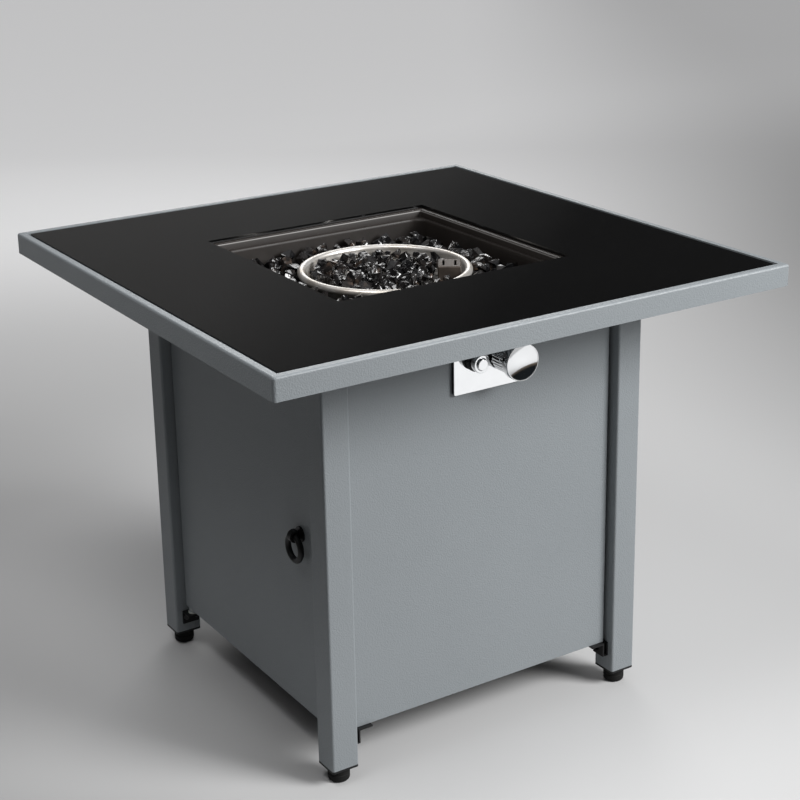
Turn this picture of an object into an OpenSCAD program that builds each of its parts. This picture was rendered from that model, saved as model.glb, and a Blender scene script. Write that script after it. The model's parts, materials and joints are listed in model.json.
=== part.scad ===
// Square gas fire pit table on a cylinder cabinet: sheet-steel top with a black glass inlay and a sunk
// fire bowl, square tube legs, three fixed panels, a swinging door, a round burner and a front control set.
// The floor is z = 0, the controls face -Y and the door faces -X.

/* [Table top] */
// Width and depth of the top
top_w = 711; // [650:1:800]
// Height of the top above the floor
top_h = 582; // [560:1:680]
// Height of the skirt round the top
skirt_h = 27; // [22:1:34]
// Width of the flat lip round the glass
lip_w = 10; // [8:0.5:14]
// Radius of the top's upright corners
top_corner_r = 4; // [3.5:0.1:6]
// Radius of the top's upper edge
top_edge_r = 3; // [2:0.1:3.4]
// Depth of the hem turned in under the skirt
hem_w = 8; // [5:0.5:12]
// Thickness of the top's sheet
top_sheet = 1.2; // [0.8:0.1:1.6]
// Thickness of the glass
glass_t = 5; // [4:0.5:6]
// Gap between the lip and the glass
glass_gap = 2; // [1:0.1:4]
// How far the glass lies below the lip
glass_drop = 0.5; // [0:0.1:1]
// Width of the square cut-out in the glass
cutout_w = 333; // [326:1:345]
// Diameter of the soft pads under the glass
pad_d = 12; // [8:0.5:16]

/* [Fire bowl] */
// Width of the bowl's square mouth
bowl_mouth_w = 318; // [312:1:322]
// Width of the flange that lies on the deck
bowl_flange_w = 17; // [12:0.5:20]
// Depth of the upright collar under the mouth
collar_h = 11; // [8:0.5:14]
// Step from the collar in to the pressed wall
bowl_step = 4; // [2:0.5:8]
// Radius of the pressed wall's corners
bowl_corner_r = 20; // [10:1:30]
// Depth of the bowl below the deck
bowl_depth = 53.5; // [50:0.5:56]
// Thickness of the bowl's sheet
bowl_sheet = 1; // [0.8:0.1:1.5]

/* [Burner] */
// Radius of the burner's rolled rim, to the middle of the roll
rim_r = 107; // [98:1:112]
// Diameter of the rolled rim
rim_d = 10; // [7:0.5:12]
// Height of the burner dish from its floor to the top of the rim
dish_h = 36; // [33:0.5:40]
// Height of the gas chamber under the perforated plate
chamber_h = 12; // [11:0.5:15]
// Width of the step that carries the perforated plate
plate_step = 5; // [3:0.5:7]
// Thickness of the dish's sheet
dish_sheet = 1; // [0.8:0.1:1.4]
// Thickness of the perforated plate
plate_t = 1.2; // [1:0.1:2]
// Diameter of the gas ports
port_d = 4; // [3:0.1:5]
// Rings of gas ports
port_rings = 3; // [2:1:4]
// Distance of the spark shield from the burner's axis
shield_r = 82; // [70:1:83]
// Direction of the spark shield, in degrees from +X
shield_angle = -34; // [-44:1:-24]
// Size of the spark shield away from the burner's axis
shield_depth = 30; // [26:1:32]
// Size of the spark shield along the burner's rim
shield_w = 38; // [34:1:40]
// Height of the spark shield
shield_h = 26.5; // [22:0.5:30]
// Thickness of the spark shield's sheet
shield_sheet = 1.5; // [1:0.1:2]

/* [Gas feed] */
// Outer diameter of the feed elbow
elbow_d = 16; // [14:0.5:18]
// Bore of the feed elbow
elbow_bore = 10; // [8:0.5:11]
// Outer diameter of the air mixer
mixer_d = 20; // [19.5:0.5:22]
// Length of the air mixer
mixer_l = 72; // [60:1:90]
// Diameter of the air holes in the mixer
air_hole_d = 8; // [6:0.5:9]
// Outer diameter of the gas pipe
pipe_d = 8; // [6:0.5:9]
// Wall of the gas pipe
pipe_wall = 1; // [0.7:0.1:1.2]
// Diameter of the ignition lead
lead_d = 4; // [3:0.1:5]
// Diameter of the thermocouple's copper lead
probe_lead_d = 2.6; // [2:0.1:3.2]

/* [Stones] */
// Pitch of the stones round the burner
bowl_stone_pitch = 23; // [20:0.5:28]
// Pitch of the stones in the burner
dish_stone_pitch = 21; // [18:0.5:25]
// Least height of the stones round the burner
bowl_stone_h = 20; // [16:0.5:24]
// Least height of the stones in the burner
dish_stone_h = 15; // [12:0.5:18]
// How much taller the tallest stones are
stone_rise = 7; // [3:0.5:9]
// Clearance round each stone
stone_gap = 0.3; // [0.2:0.05:1]

/* [Frame] */
// Width of the frame over the legs
frame_w = 462; // [440:1:560]
// Width of a leg's square tube
leg_w = 36; // [34:0.5:42]
// Wall of a leg's tube
leg_wall = 1.5; // [1.2:0.1:2.5]
// Radius of a leg's corners
leg_corner_r = 3; // [2:0.1:4]
// Height of the legs' lower ends above the floor
leg_lift = 22; // [16:0.5:28]
// Diameter of the rubber feet
foot_d = 27; // [24:0.5:34]
// Thickness of the plug's flange under a leg
plug_flange = 3; // [2:0.1:4]
// Depth of the plug inside a leg
plug_depth = 15; // [10:0.5:16.5]
// Height of the upper rails
rail_h = 25; // [23:0.5:28]
// Depth of the upper rails
rail_d = 20; // [19:0.5:22]
// Wall of the upper rails
rail_wall = 1.5; // [1.2:0.1:2]

/* [Panels] */
// How far the panels lie behind the legs' outer faces
panel_recess = 14; // [12:0.5:16]
// Gap between a panel and a leg
panel_gap = 4; // [3.8:0.1:6]
// Height of the panels' lower edge above the legs' lower ends
panel_rise = 40; // [38:0.5:46]
// Thickness of the panels' sheet
panel_t = 1; // [0.8:0.1:1.4]
// Depth of the flanges folded in round a panel
fold_d = 12; // [10:0.5:13]
// Thickness of the base shelf
shelf_t = 1.2; // [1:0.1:2]
// Diameter of the shelf's hole for the gas cylinder's foot
cylinder_hole_d = 210; // [200:1:230]
// Depth of the collar round that hole
hole_collar_h = 10; // [6:0.5:11]
// Height of the small panel brackets
bracket_h = 19; // [17:0.5:20]
// Thickness of the small panel brackets
bracket_t = 2.2; // [1.8:0.1:3]

/* [Door] */
// Distance of the door's pivot from its edge and from its face
pivot_inset = 7; // [6.8:0.1:7.4]
// Diameter of the pivot pins
pin_d = 6; // [5:0.1:7]
// Running clearance on a radius
running_gap = 0.05; // [0.02:0.01:0.1]
// Gap between the door and the rail above it
door_top_gap = 3.3; // [3.2:0.1:5]
// Outer diameter of the ring pull
ring_od = 38.5; // [36:0.5:52]
// Diameter of the ring pull's bar
ring_bar = 7.5; // [5:0.1:8]
// Distance of the ring pull's middle from the door's front edge
ring_inset = 44; // [30:1:60]
// Distance of the ring pull's middle below the door's middle
ring_low = 22; // [-60:0.5:60]
// Distance of the ring pull's bar from the door's face
ring_offset = 9; // [8.5:0.1:12]
// Thickness of the eye that holds the ring
eye_t = 8; // [6:0.5:9]

/* [Controls] */
// Offset of the control plate from the middle of the front
control_x = 3.7; // [-10:0.1:10]
// Distance of the knob and the button below the top
control_drop = 86; // [78:0.5:92]
// Distance of the knob and the button from the plate's middle
control_spread = 21.7; // [21.5:0.1:23]
// Width of the control plate
plate_w = 100; // [96:1:112]
// Height of the control plate
plate_h = 78; // [70:1:84]
// Thickness of the control plate
face_t = 1; // [0.8:0.1:1.5]
// Depth of the black box behind the plate
box_d = 4; // [3:0.1:6]
// Radius of the plate's corners
face_corner_r = 3; // [2:0.5:6]
// Diameter of the knob's bright cap
knob_d = 46.5; // [42:0.5:48]
// Diameter of the knob's ridged skirt
knob_skirt_d = 40; // [38:0.5:41]
// Depth of the knob
knob_h = 35; // [30:0.5:40]
// Depth of the knob's bright cap
knob_cap_h = 13; // [10:0.5:15]
// How far the knob pushes in
knob_travel = 3; // [2:0.5:4]
// Ridges round the knob
knob_ridges = 30; // [20:1:40]
// Diameter of the valve's spindle
spindle_d = 8; // [6:0.5:8.5]
// Outer diameter of the valve's threaded gas inlet
inlet_d = 15.8; // [14:0.1:18]
// Length of the valve's gas inlet
inlet_l = 20; // [15:0.5:24]
// Diameter of the igniter's bright bezel
bezel_d = 22; // [21.5:0.5:25]
// Diameter of the igniter's button
button_d = 14; // [12:0.5:15]
// How far the button pushes in
button_travel = 2.5; // [1.5:0.1:3]
// Diameter of the igniter's battery
battery_d = 14.5; // [14:0.1:14.9]
// Length of the igniter's battery
battery_l = 50.5; // [44:0.5:52]

/* [Hidden] */
$fn = 64;

// Finishes
grey_coat = [0.50, 0.53, 0.55];
black_coat = [0.06, 0.06, 0.07];
glass_black = [0.03, 0.03, 0.035];
burner_steel = [0.62, 0.58, 0.52];
bowl_brown = [0.33, 0.30, 0.28];
stone_black = [0.05, 0.05, 0.055];
zinc = [0.70, 0.71, 0.72];
bright = [0.86, 0.87, 0.88];
brass = [0.72, 0.58, 0.28];
copper = [0.72, 0.43, 0.28];
nylon = [0.85, 0.84, 0.80];
ceramic_white = [0.93, 0.92, 0.88];

// Clearance of a screw or a stem in its hole, on the diameter
hole_gap = 0.4;
// Clearance of a close static fit, on the diameter
close_gap = 0.2;
// Overlap that lets a cut break through a face
over = 1;

// Levels of the top
top_half = top_w / 2;
glass_top_z = top_h - glass_drop;
glass_z = glass_top_z - glass_t;
deck_z = glass_z - bowl_sheet;
deck_under = deck_z - top_sheet;
skirt_z = top_h - skirt_h;
lip_half = top_half - lip_w;
glass_w = 2 * (lip_half - glass_gap);
deck_hole_w = bowl_mouth_w + 2 * bowl_sheet;
deck_turn_h = 12;

// Levels of the bowl and the burner
bowl_floor = deck_z - bowl_depth;
bowl_under = bowl_floor - bowl_sheet;
collar_z = glass_z - collar_h;
pan_w = bowl_mouth_w - 2 * bowl_step;
rim_z = bowl_floor + dish_h - rim_d / 2;
dish_r = rim_r - rim_d / 2;
plate_z = bowl_floor + chamber_h;
plate_top = plate_z + plate_t;
plate_r = dish_r - stone_gap;
shield_at = shield_r * [cos(shield_angle), sin(shield_angle)];

// Gas feed, below the bowl
feed_z = bowl_under - 16;
elbow_bend = 12;
elbow_end = 34;
elbow_top = bowl_floor + dish_sheet + 8;
elbow_flange_d = 26;
elbow_flange_h = 4;
burner_nut_h = 6;
mixer_back = 18;
mixer_front = mixer_back + mixer_l;
jet_hex = 20;
jet_hex_l = 10;
jet_l = 8;
jet_bore = 1.5;
air_hole_back = 22;
pipe_bore = pipe_d - 2 * pipe_wall;
pipe_hex = 15;
pipe_hex_l = 12;
probe_spread = 9;
electrode_d = 7;
probe_d = 5;
probe_collar_d = 11;
probe_collar_h = 2;
probe_low = bowl_under - 8;
insulator_h = 10;
spark_d = 2.4;
spark_h = 20;
probe_h = 18;
slot_w = 3;
slot_l = 24;
mouth_w = 16;
mouth_h = 8;

// Stones
stone_shift = 1.2;
stone_twist = 14;
stone_least = 0.4;

// Frame
frame_half = frame_w / 2;
leg_in = frame_half - leg_w;
leg_mid = frame_half - leg_w / 2;
plug_w = leg_w - 2 * leg_wall - close_gap;
foot_stem_d = 8;
foot_stem_h = 14;
face_y = frame_half - panel_recess;
skin_y = face_y - panel_t;
rail_mid = skin_y - rail_d / 2;
rail_z = deck_under - rail_h;
panel_half = leg_in - panel_gap;
panel_lift = leg_lift + panel_rise;
panel_top = deck_under - 2;
stud_d = 6;
stud_out = 120;
stud_tail = 9;
nut_hex = 11.5;
nut_h = 5;

// Shelf and brackets
shelf_z = panel_lift + panel_t;
shelf_gap = 2;
shelf_half = skin_y - hole_gap;
shelf_lip_h = 14;
bracket_tab = 26;
bracket_back = 6.5;
bracket_set = 1;
bracket_y = skin_y - bracket_back - bracket_set;
bracket_front = face_y + 5;
bracket_w = bracket_front - bracket_y + bracket_back;
bracket_z = panel_lift - bracket_h;
bolt_d = 5;
bolt_l = 10;
bolt_hex = 9.2;
bolt_head_h = 3.5;
bolt_room = 1.5;
bracket_deep = 2 * bracket_t + bolt_head_h + 0.5;
tool_hole_d = bolt_hex + 2;
bolt_z = panel_lift - bracket_t - bolt_hex / 2 - bolt_room;
tab_screw_x = leg_in - 0.7 * bracket_tab;

// Small pan-head screws
screw_d = 4;
screw_head_d = 7.5;
screw_head_h = 2.4;
screw_socket = 3;
bowl_screw_x = 80;
bowl_screw_z = deck_z - deck_turn_h / 2;
panel_screw_x = 150;
panel_screw_z = rail_z + rail_h / 2;

// Door
door_top = rail_z - door_top_gap;
pivot_x = -(face_y - pivot_inset);
pivot_y = panel_half - pivot_inset;
bush_d = 10;
bush_flange_d = 14;
bush_flange_h = 2;
pivot_drop = 9;
pivot_z = panel_lift - pivot_drop;
pivot_w = 24;
pivot_reach = leg_in - pivot_y + bush_d;
door_sweep = norm([fold_d - pivot_inset, pivot_inset]);
shelf_left = -pivot_x - door_sweep - shelf_gap;
pivot_bolt_x = 7;
pivot_bolt_z = pivot_z - bracket_t - bolt_hex / 2 - bolt_room;
pin_collar_d = 12;
pin_head_h = 3;
door_lift = 0.3;
catch_l = 40;
catch_h = 14;
catch_d = 12;
catch_gap = 0.3;
door_return = 14;
ring_r = (ring_od - ring_bar) / 2;
ring_z = (panel_lift + door_top) / 2 - ring_low;
eye_z = ring_z + ring_r;
eye_hole_d = ring_bar + 2 * (eye_t * eye_t / 8 / ring_r + 0.3);
eye_d = eye_hole_d + 6;
eye_base_d = 20;
eye_base_t = 2;
ring_nut_h = 4;
ring_y = -(panel_half - ring_inset);

// Controls, measured out from the panel's face
control_z = top_h - control_drop;
knob_x = control_x + control_spread;
button_x = control_x - control_spread;
plate_y = face_y + box_d + face_t;
knob_back = plate_y + knob_travel + 0.5;
knob_face = knob_back + knob_h;
knob_wall = 2;
ridge_d = 2;
ridge_start = 4;
knob_hub_d = spindle_d + 6;
knob_hollow = 10;
knob_hollow_d = knob_skirt_d - 2 * knob_wall - ridge_d;
spindle_out = knob_face - knob_cap_h;
flat_cut = 1.5;
valve_flange = 3;
valve_w = 32;
valve_l = 40;
valve_back = skin_y - valve_flange - valve_l;
valve_low = control_z - 28;
valve_top = control_z + 16;
outlet_z = control_z - 16;
outlet_d = 12;
outlet_l = 8;
plunger_d = spindle_d + 2;
plunger_l = 8;
chamber_front = skin_y - 18;
plunger_back = chamber_front - plunger_l;
spring_wire = 1;
button_spring_d = 10;
cap_l = 6;
cap_d = 18;
valve_screw_r = (knob_hub_d + knob_hollow_d) / 4;
valve_screw_l = face_t + box_d + panel_t + valve_flange;
inlet_bore = 8;
port_bore = 5;
port_y = valve_back + 7;
inlet_y = -(skin_y - valve_flange - valve_l / 2);
neck_d = 18;
neck_bore = 16.4;
neck_out = plate_y + 14;
neck_nut_l = 8;
bezel_out = neck_out + 3;
button_collar = 2.8;
button_out = bezel_out + button_travel + 0.2;
igniter_flange_d = 24;
igniter_flange_t = 3;
barrel_d = 20;
battery_front = skin_y + 5;
battery_back = battery_front - battery_l;
barrel_back = battery_back - 4;

// Round square outline with true arcs
module round_rect(w, h, r) {
  square([w - 2 * r, h], center = true);
  square([w, h - 2 * r], center = true);
  for (x = [-1, 1], y = [-1, 1]) translate([x * (w / 2 - r), y * (h / 2 - r)]) circle(r);
}

// Flat plate with round corners, standing on z
module round_plate(w, h, r, z, t) {
  translate([0, 0, z]) linear_extrude(t) round_rect(w, h, r);
}

// Square ring between two widths
module square_ring(outer, inner, z, t) {
  difference() {
    translate([-outer / 2, -outer / 2, z]) cube([outer, outer, t]);
    translate([-inner / 2, -inner / 2, z - over]) cube([inner, inner, t + 2 * over]);
  }
}

// Round bar or tube along y, from one distance out of the front to another, at x and z
module front_round(x, z, y_in, y_out, d) {
  translate([x, -y_in, z]) rotate([90, 0, 0]) cylinder(d = d, h = y_out - y_in);
}

// Hexagon bar along y, as front_round
module front_hex(x, z, y_in, y_out, d) {
  translate([x, -y_in, z]) rotate([90, 0, 0]) cylinder(d = d, h = y_out - y_in, $fn = 6);
}

function unit(v) = v / norm(v);

// Points along a list of corners, with each corner rounded by an arc of several steps
function round_route(corners, bend, steps) = let (last = len(corners) - 1,
  way = [for (i = [0:last - 1]) unit(corners[i + 1] - corners[i])])
  [for (i = [0:last]) each i == 0 || i == last ? [corners[i]] :
    let (turn = acos(way[i - 1] * way[i]), inward = unit(way[i] - (way[i] * way[i - 1]) * way[i - 1]),
      mid = corners[i] - bend * tan(turn / 2) * way[i - 1] + bend * inward)
    [for (k = [0:steps]) let (a = turn * k / steps) mid + bend * (sin(a) * way[i - 1] - cos(a) * inward)]];

// Unit vectors square to a route, each carried on from the one before it
function carried(first, way) = [for (i = 0, n = first; i < len(way);
  i = i + 1, n = i < len(way) ? unit(n - (n * way[i]) * way[i]) : n) n];

// Solid wire or pipe swept along corners with round bends, as one closed skin; a bore makes it hollow
module swept_tube(corners, bend, d, sides, bore = 0) {
  route = round_route(corners, bend, 6);
  last = len(route) - 1;
  way = [for (i = [0:last]) unit(route[min(i + 1, last)] - route[max(i - 1, 0)])];
  normal = carried(unit(cross(way[0], [0.3, 0.5, 0.8])), way);
  walls = bore > 0 ? [d, bore] : [d];
  points = [for (w = walls, i = [0:last], k = [0:sides - 1]) let (a = 360 * k / sides)
    route[i] + w / 2 * (cos(a) * normal[i] + sin(a) * cross(way[i], normal[i]))];
  inner = (last + 1) * sides;
  skin = [for (w = [0:len(walls) - 1], i = [0:last - 1], k = [0:sides - 1], half = [0, 1])
    let (a = w * inner + i * sides + k, b = w * inner + i * sides + (k + 1) % sides,
      face = half == 0 ? [a, a + sides, b] : [b, a + sides, b + sides])
    w == 0 ? face : [face[0], face[2], face[1]]];
  caps = bore > 0 ? [for (end = [0, 1], k = [0:sides - 1], half = [0, 1])
      let (a = end * last * sides + k, b = end * last * sides + (k + 1) % sides,
        face = half == 0 ? [a, b, a + inner] : [b, b + inner, a + inner])
      end == 0 ? face : [face[0], face[2], face[1]]]
    : [for (end = [0, 1], k = [1:sides - 2]) let (a = end * last * sides)
      end == 0 ? [a, a + k, a + k + 1] : [a, a + k + 1, a + k]];
  polyhedron(points, concat(skin, caps));
}

// Helical spring on z with closed ends left square
module coil_spring(d, wire, length, turns) {
  sides = 6;
  steps = turns * 10;
  r = (d - wire) / 2;
  rise = length - wire;
  points = [for (i = [0:steps], k = [0:sides - 1])
    let (a = 360 * i / 10, b = 360 * k / sides, out = r + wire / 2 * cos(b))
    [out * cos(a), out * sin(a), wire / 2 + rise * i / steps + wire / 2 * sin(b)]];
  skin = [for (i = [0:steps - 1], k = [0:sides - 1], half = [0, 1])
    let (a = i * sides + k, b = i * sides + (k + 1) % sides)
    half == 0 ? [a, a + sides, b] : [b, a + sides, b + sides]];
  ends = [for (k = [1:sides - 2], end = [0, 1])
    end == 0 ? [0, k, k + 1] : [steps * sides, steps * sides + k + 1, steps * sides + k]];
  polyhedron(points, concat(skin, ends));
}

// Pan-head screw with its head's seat on z = 0 and its shank up along z
module pan_screw(l) {
  difference() {
    union() {
      translate([0, 0, -screw_head_h]) cylinder(d = screw_head_d, h = screw_head_h);
      cylinder(d = screw_d, h = l);
    }
    translate([0, 0, -screw_head_h - over]) cylinder(d = screw_socket, h = over + 1.4, $fn = 6);
  }
}

// Top

// Straight sides and round corners of the skirt and its rolled upper edge
module skirt_sweep() {
  side = top_half - top_corner_r;
  for (k = [0:3]) rotate([0, 0, 90 * k]) {
    translate([side, side, 0]) rotate([90, 0, 0]) linear_extrude(2 * side) skirt_profile();
    translate([side, side, 0]) rotate_extrude(angle = 90) skirt_profile();
  }
}

// Section of the skirt, measured out from the corners' axes
module skirt_profile() {
  difference() {
    union() {
      translate([0, skirt_z]) square([top_corner_r, skirt_h - top_edge_r]);
      translate([0, top_h - top_edge_r]) square([top_corner_r - top_edge_r, top_edge_r]);
      translate([top_corner_r - top_edge_r, top_h - top_edge_r]) intersection() {
        circle(top_edge_r);
        square(top_edge_r);
      }
    }
    translate([-over, skirt_z - over]) square([over + top_corner_r - top_sheet, over + skirt_h - top_edge_r]);
    translate([-over, skirt_z]) square([over + top_corner_r - top_edge_r, skirt_h - top_sheet]);
    translate([top_corner_r - top_edge_r, top_h - top_edge_r]) circle(top_edge_r - top_sheet);
  }
}

module top_frame() {
  side = 2 * (top_half - top_corner_r);
  hem_half = top_half - top_sheet - hem_w;
  color(grey_coat) {
    skirt_sweep();
    square_ring(side, 2 * lip_half, top_h - top_sheet, top_sheet);
    square_ring(2 * (lip_half + top_sheet), 2 * lip_half, deck_under, top_h - deck_under);
    square_ring(2 * lip_half, deck_hole_w, deck_under, top_sheet);
    difference() {
      round_plate(top_w - top_sheet, top_w - top_sheet, top_corner_r - top_sheet / 2, skirt_z, top_sheet);
      translate([-hem_half, -hem_half, skirt_z - over])
        cube([2 * hem_half, 2 * hem_half, top_sheet + 2 * over]);
    }
    difference() {
      square_ring(deck_hole_w + 2 * top_sheet, deck_hole_w, deck_z - deck_turn_h, deck_turn_h);
      bowl_screw_places() cylinder(d = screw_d + hole_gap, h = 20, center = true);
    }
    for (at = stud_places()) translate([at.x, at.y, rail_z - stud_tail])
      cylinder(d = stud_d, h = rail_h + stud_tail + top_sheet / 2);
  }
}

function stud_places() = [for (turn = [0, 90, 180], x = [-stud_out, stud_out])
  [x * cos(turn) + rail_mid * sin(turn), x * sin(turn) - rail_mid * cos(turn)]];

module bowl_screw_places() {
  for (turn = [0:90:270], x = [-bowl_screw_x, bowl_screw_x]) rotate([0, 0, turn])
    translate([x, -deck_hole_w / 2 - top_sheet, bowl_screw_z]) rotate([-90, 0, 0]) children();
}

module glass_top() {
  color(glass_black) difference() {
    round_plate(glass_w, glass_w, 2, glass_z, glass_t);
    translate([-cutout_w / 2, -cutout_w / 2, glass_z - over]) cube([cutout_w, cutout_w, glass_t + 2 * over]);
  }
}

module glass_pads() {
  out = lip_half - glass_gap - pad_d;
  color(nylon) for (x = [-1:1], y = [-1:1]) if (x != 0 || y != 0)
    translate([x * out, y * out, deck_z]) cylinder(d = pad_d, h = glass_z - deck_z);
}

module fire_bowl() {
  flange = bowl_mouth_w + 2 * bowl_flange_w;
  color(bowl_brown) difference() {
    union() {
      square_ring(flange, bowl_mouth_w, deck_z, bowl_sheet);
      square_ring(deck_hole_w, bowl_mouth_w, collar_z, glass_z - collar_z);
      translate([-deck_hole_w / 2, -deck_hole_w / 2, collar_z]) cube([deck_hole_w, deck_hole_w, bowl_sheet]);
      round_plate(pan_w + 2 * bowl_sheet, pan_w + 2 * bowl_sheet, bowl_corner_r + bowl_sheet,
        bowl_under, collar_z - bowl_under + bowl_sheet);
    }
    round_plate(pan_w, pan_w, bowl_corner_r, bowl_floor, glass_z - bowl_floor + over);
    bowl_screw_places() cylinder(d = screw_d + hole_gap, h = 20, center = true);
    feed_holes(bowl_under - over, bowl_sheet + 2 * over);
  }
}

// Holes for the feed elbow, the electrode and the thermocouple
module feed_holes(z, h) {
  translate([0, 0, z]) cylinder(d = elbow_d + hole_gap, h = h);
  probe_holes(z, h);
}

module probe_holes(z, h) {
  shield_place() {
    translate([0, -probe_spread, z]) cylinder(d = electrode_d + hole_gap, h = h);
    translate([0, probe_spread, z]) cylinder(d = probe_d + hole_gap, h = h);
  }
}

module shield_place() {
  translate(shield_at) rotate([0, 0, shield_angle]) children();
}

// Burner

module burner_dish() {
  low_r = dish_r - plate_step;
  color(burner_steel) difference() {
    rotate_extrude() {
      translate([0, bowl_floor]) square([low_r + dish_sheet, dish_sheet]);
      translate([low_r, bowl_floor]) square([dish_sheet, chamber_h]);
      translate([low_r, plate_z - dish_sheet]) square([plate_step + dish_sheet, dish_sheet]);
      translate([dish_r, plate_z - dish_sheet]) square([dish_sheet, rim_z - plate_z + dish_sheet]);
      translate([rim_r, rim_z]) circle(d = rim_d);
    }
    feed_holes(bowl_floor - over, dish_sheet + 2 * over);
  }
}

module burner_plate() {
  ring_step = (plate_r - plate_step) / (port_rings + 1);
  color(burner_steel) difference() {
    translate([0, 0, plate_z]) cylinder(r = plate_r, h = plate_t);
    for (k = [1:port_rings]) for (n = [0:8 * k - 1])
      let (a = 360 * (n + 0.5) / (8 * k), at = k * ring_step * [cos(a), sin(a)])
      if (norm(at - shield_at) > shield_w / 2 + port_d)
        translate([at.x, at.y, plate_z - over]) cylinder(d = port_d, h = plate_t + 2 * over);
    probe_holes(plate_z - over, plate_t + 2 * over);
  }
}

module elbow_ring(d) {
  difference() {
    circle(d = d);
    circle(d = elbow_bore);
  }
}

module burner_elbow() {
  color(brass) {
    translate([0, 0, feed_z + elbow_bend])
      linear_extrude(elbow_top - feed_z - elbow_bend) elbow_ring(elbow_d);
    translate([0, -elbow_bend, feed_z]) rotate([90, 0, 0])
      linear_extrude(elbow_end - elbow_bend) elbow_ring(elbow_d);
    translate([0, -elbow_bend, feed_z + elbow_bend]) rotate([0, -90, 0]) rotate([0, 0, 90])
      rotate_extrude(angle = 90) translate([elbow_bend, 0]) elbow_ring(elbow_d);
    translate([0, 0, bowl_under - elbow_flange_h]) linear_extrude(elbow_flange_h) elbow_ring(elbow_flange_d);
  }
}

module burner_nut() {
  z = bowl_floor + dish_sheet;
  color(brass) difference() {
    translate([0, 0, z]) cylinder(d = elbow_flange_d, h = burner_nut_h, $fn = 6);
    translate([0, 0, z - over]) cylinder(d = elbow_d + close_gap, h = burner_nut_h + 2 * over);
  }
}

module air_mixer() {
  color(zinc) difference() {
    front_round(0, feed_z, mixer_back, mixer_front, mixer_d);
    front_round(0, feed_z, mixer_back - over, mixer_front + over, elbow_d + close_gap);
    for (turn = [45, 135]) translate([0, air_hole_back - mixer_front, feed_z]) rotate([0, turn, 0])
      cylinder(d = air_hole_d, h = 2 * mixer_d, center = true);
  }
}

module gas_jet() {
  color(brass) difference() {
    union() {
      front_hex(0, feed_z, mixer_front, mixer_front + jet_hex_l, jet_hex);
      front_round(0, feed_z, mixer_front - jet_l, mixer_front, elbow_d);
      front_round(0, feed_z, mixer_front - 2 * jet_l, mixer_front - jet_l, elbow_d / 2);
    }
    front_round(0, feed_z, mixer_front - 1.5 * jet_l, mixer_front + jet_hex_l + over, pipe_bore);
    front_round(0, feed_z, mixer_front - 2 * jet_l - over, mixer_front - jet_l, jet_bore);
  }
}

// Ends of the gas pipe, at the valve's outlet and at the jet
function pipe_start() = [knob_x, -(valve_back - outlet_l), outlet_z];
function pipe_end() = [0, -(mixer_front + jet_hex_l), feed_z];
function pipe_route() = let (a = pipe_start(), d = pipe_end())
  [a, [a.x, a.y + pipe_hex_l + pipe_d + 6, a.z], [d.x, d.y - pipe_hex_l - pipe_d - 3, d.z], d];

module gas_pipe() {
  color(zinc) swept_tube(pipe_route(), 1.5 * pipe_d, pipe_d, 20, pipe_bore);
}

module pipe_nuts() {
  starts = [-pipe_start().y - pipe_hex_l, -pipe_end().y];
  xs = [pipe_start().x, pipe_end().x];
  zs = [outlet_z, feed_z];
  color(brass) for (i = [0, 1]) difference() {
    front_hex(xs[i], zs[i], starts[i], starts[i] + pipe_hex_l, pipe_hex);
    front_round(xs[i], zs[i], starts[i] - over, starts[i] + pipe_hex_l + over, pipe_d + close_gap);
  }
}

module spark_shield() {
  color(black_coat) shield_place() translate([0, 0, plate_top]) difference() {
    translate([-shield_depth / 2, -shield_w / 2, 0]) cube([shield_depth, shield_w, shield_h]);
    translate([-shield_depth / 2 + shield_sheet, -shield_w / 2 + shield_sheet, -over])
      cube([shield_depth - 2 * shield_sheet, shield_w - 2 * shield_sheet, shield_h - shield_sheet + over]);
    for (x = [-1, 1])
      translate([x * shield_depth / 4 - slot_w / 2, -slot_l / 2, shield_h - shield_sheet - over])
        cube([slot_w, slot_l, shield_sheet + 2 * over]);
    translate([-shield_depth / 2 - over, -mouth_w / 2, -over])
      cube([shield_sheet + 2 * over, mouth_w, mouth_h + over]);
  }
}

module electrode() {
  color(ceramic_white) shield_place() translate([0, -probe_spread, 0]) {
    translate([0, 0, probe_low]) cylinder(d = electrode_d, h = plate_top + insulator_h - probe_low);
    translate([0, 0, plate_top]) cylinder(d = probe_collar_d, h = probe_collar_h);
    translate([0, 0, plate_top]) cylinder(d = spark_d, h = spark_h);
  }
}

module thermocouple() {
  color(copper) shield_place() translate([0, probe_spread, 0]) {
    translate([0, 0, probe_low]) cylinder(d = probe_d, h = plate_top + probe_h - probe_low);
    translate([0, 0, plate_top]) cylinder(d = probe_collar_d, h = probe_collar_h);
  }
}

// Foot of a probe below the bowl: -1 is the electrode, 1 the thermocouple
function probe_foot(side) = let (y = side * probe_spread)
  [shield_at.x - y * sin(shield_angle), shield_at.y + y * cos(shield_angle), probe_low];

module ignition_lead() {
  a = probe_foot(-1);
  d = [button_x, -barrel_back, control_z];
  low = feed_z - mixer_d / 2 - lead_d - 4;
  route = [a, [a.x, a.y, low], [d.x, a.y - 30, low], [d.x, d.y + 24, d.z], d];
  color(black_coat) swept_tube(route, 2.2 * lead_d, lead_d, 8);
}

module thermocouple_lead() {
  a = probe_foot(1);
  d = [knob_x, -(valve_back - cap_l), control_z];
  low = a.z - 4 * probe_lead_d;
  route = [a, [a.x, a.y, low], [a.x, (a.y + d.y) / 2, low], [d.x, d.y + 20, d.z], d];
  color(copper) swept_tube(route, 2.2 * probe_lead_d, probe_lead_d, 8);
}

// Stones

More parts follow.
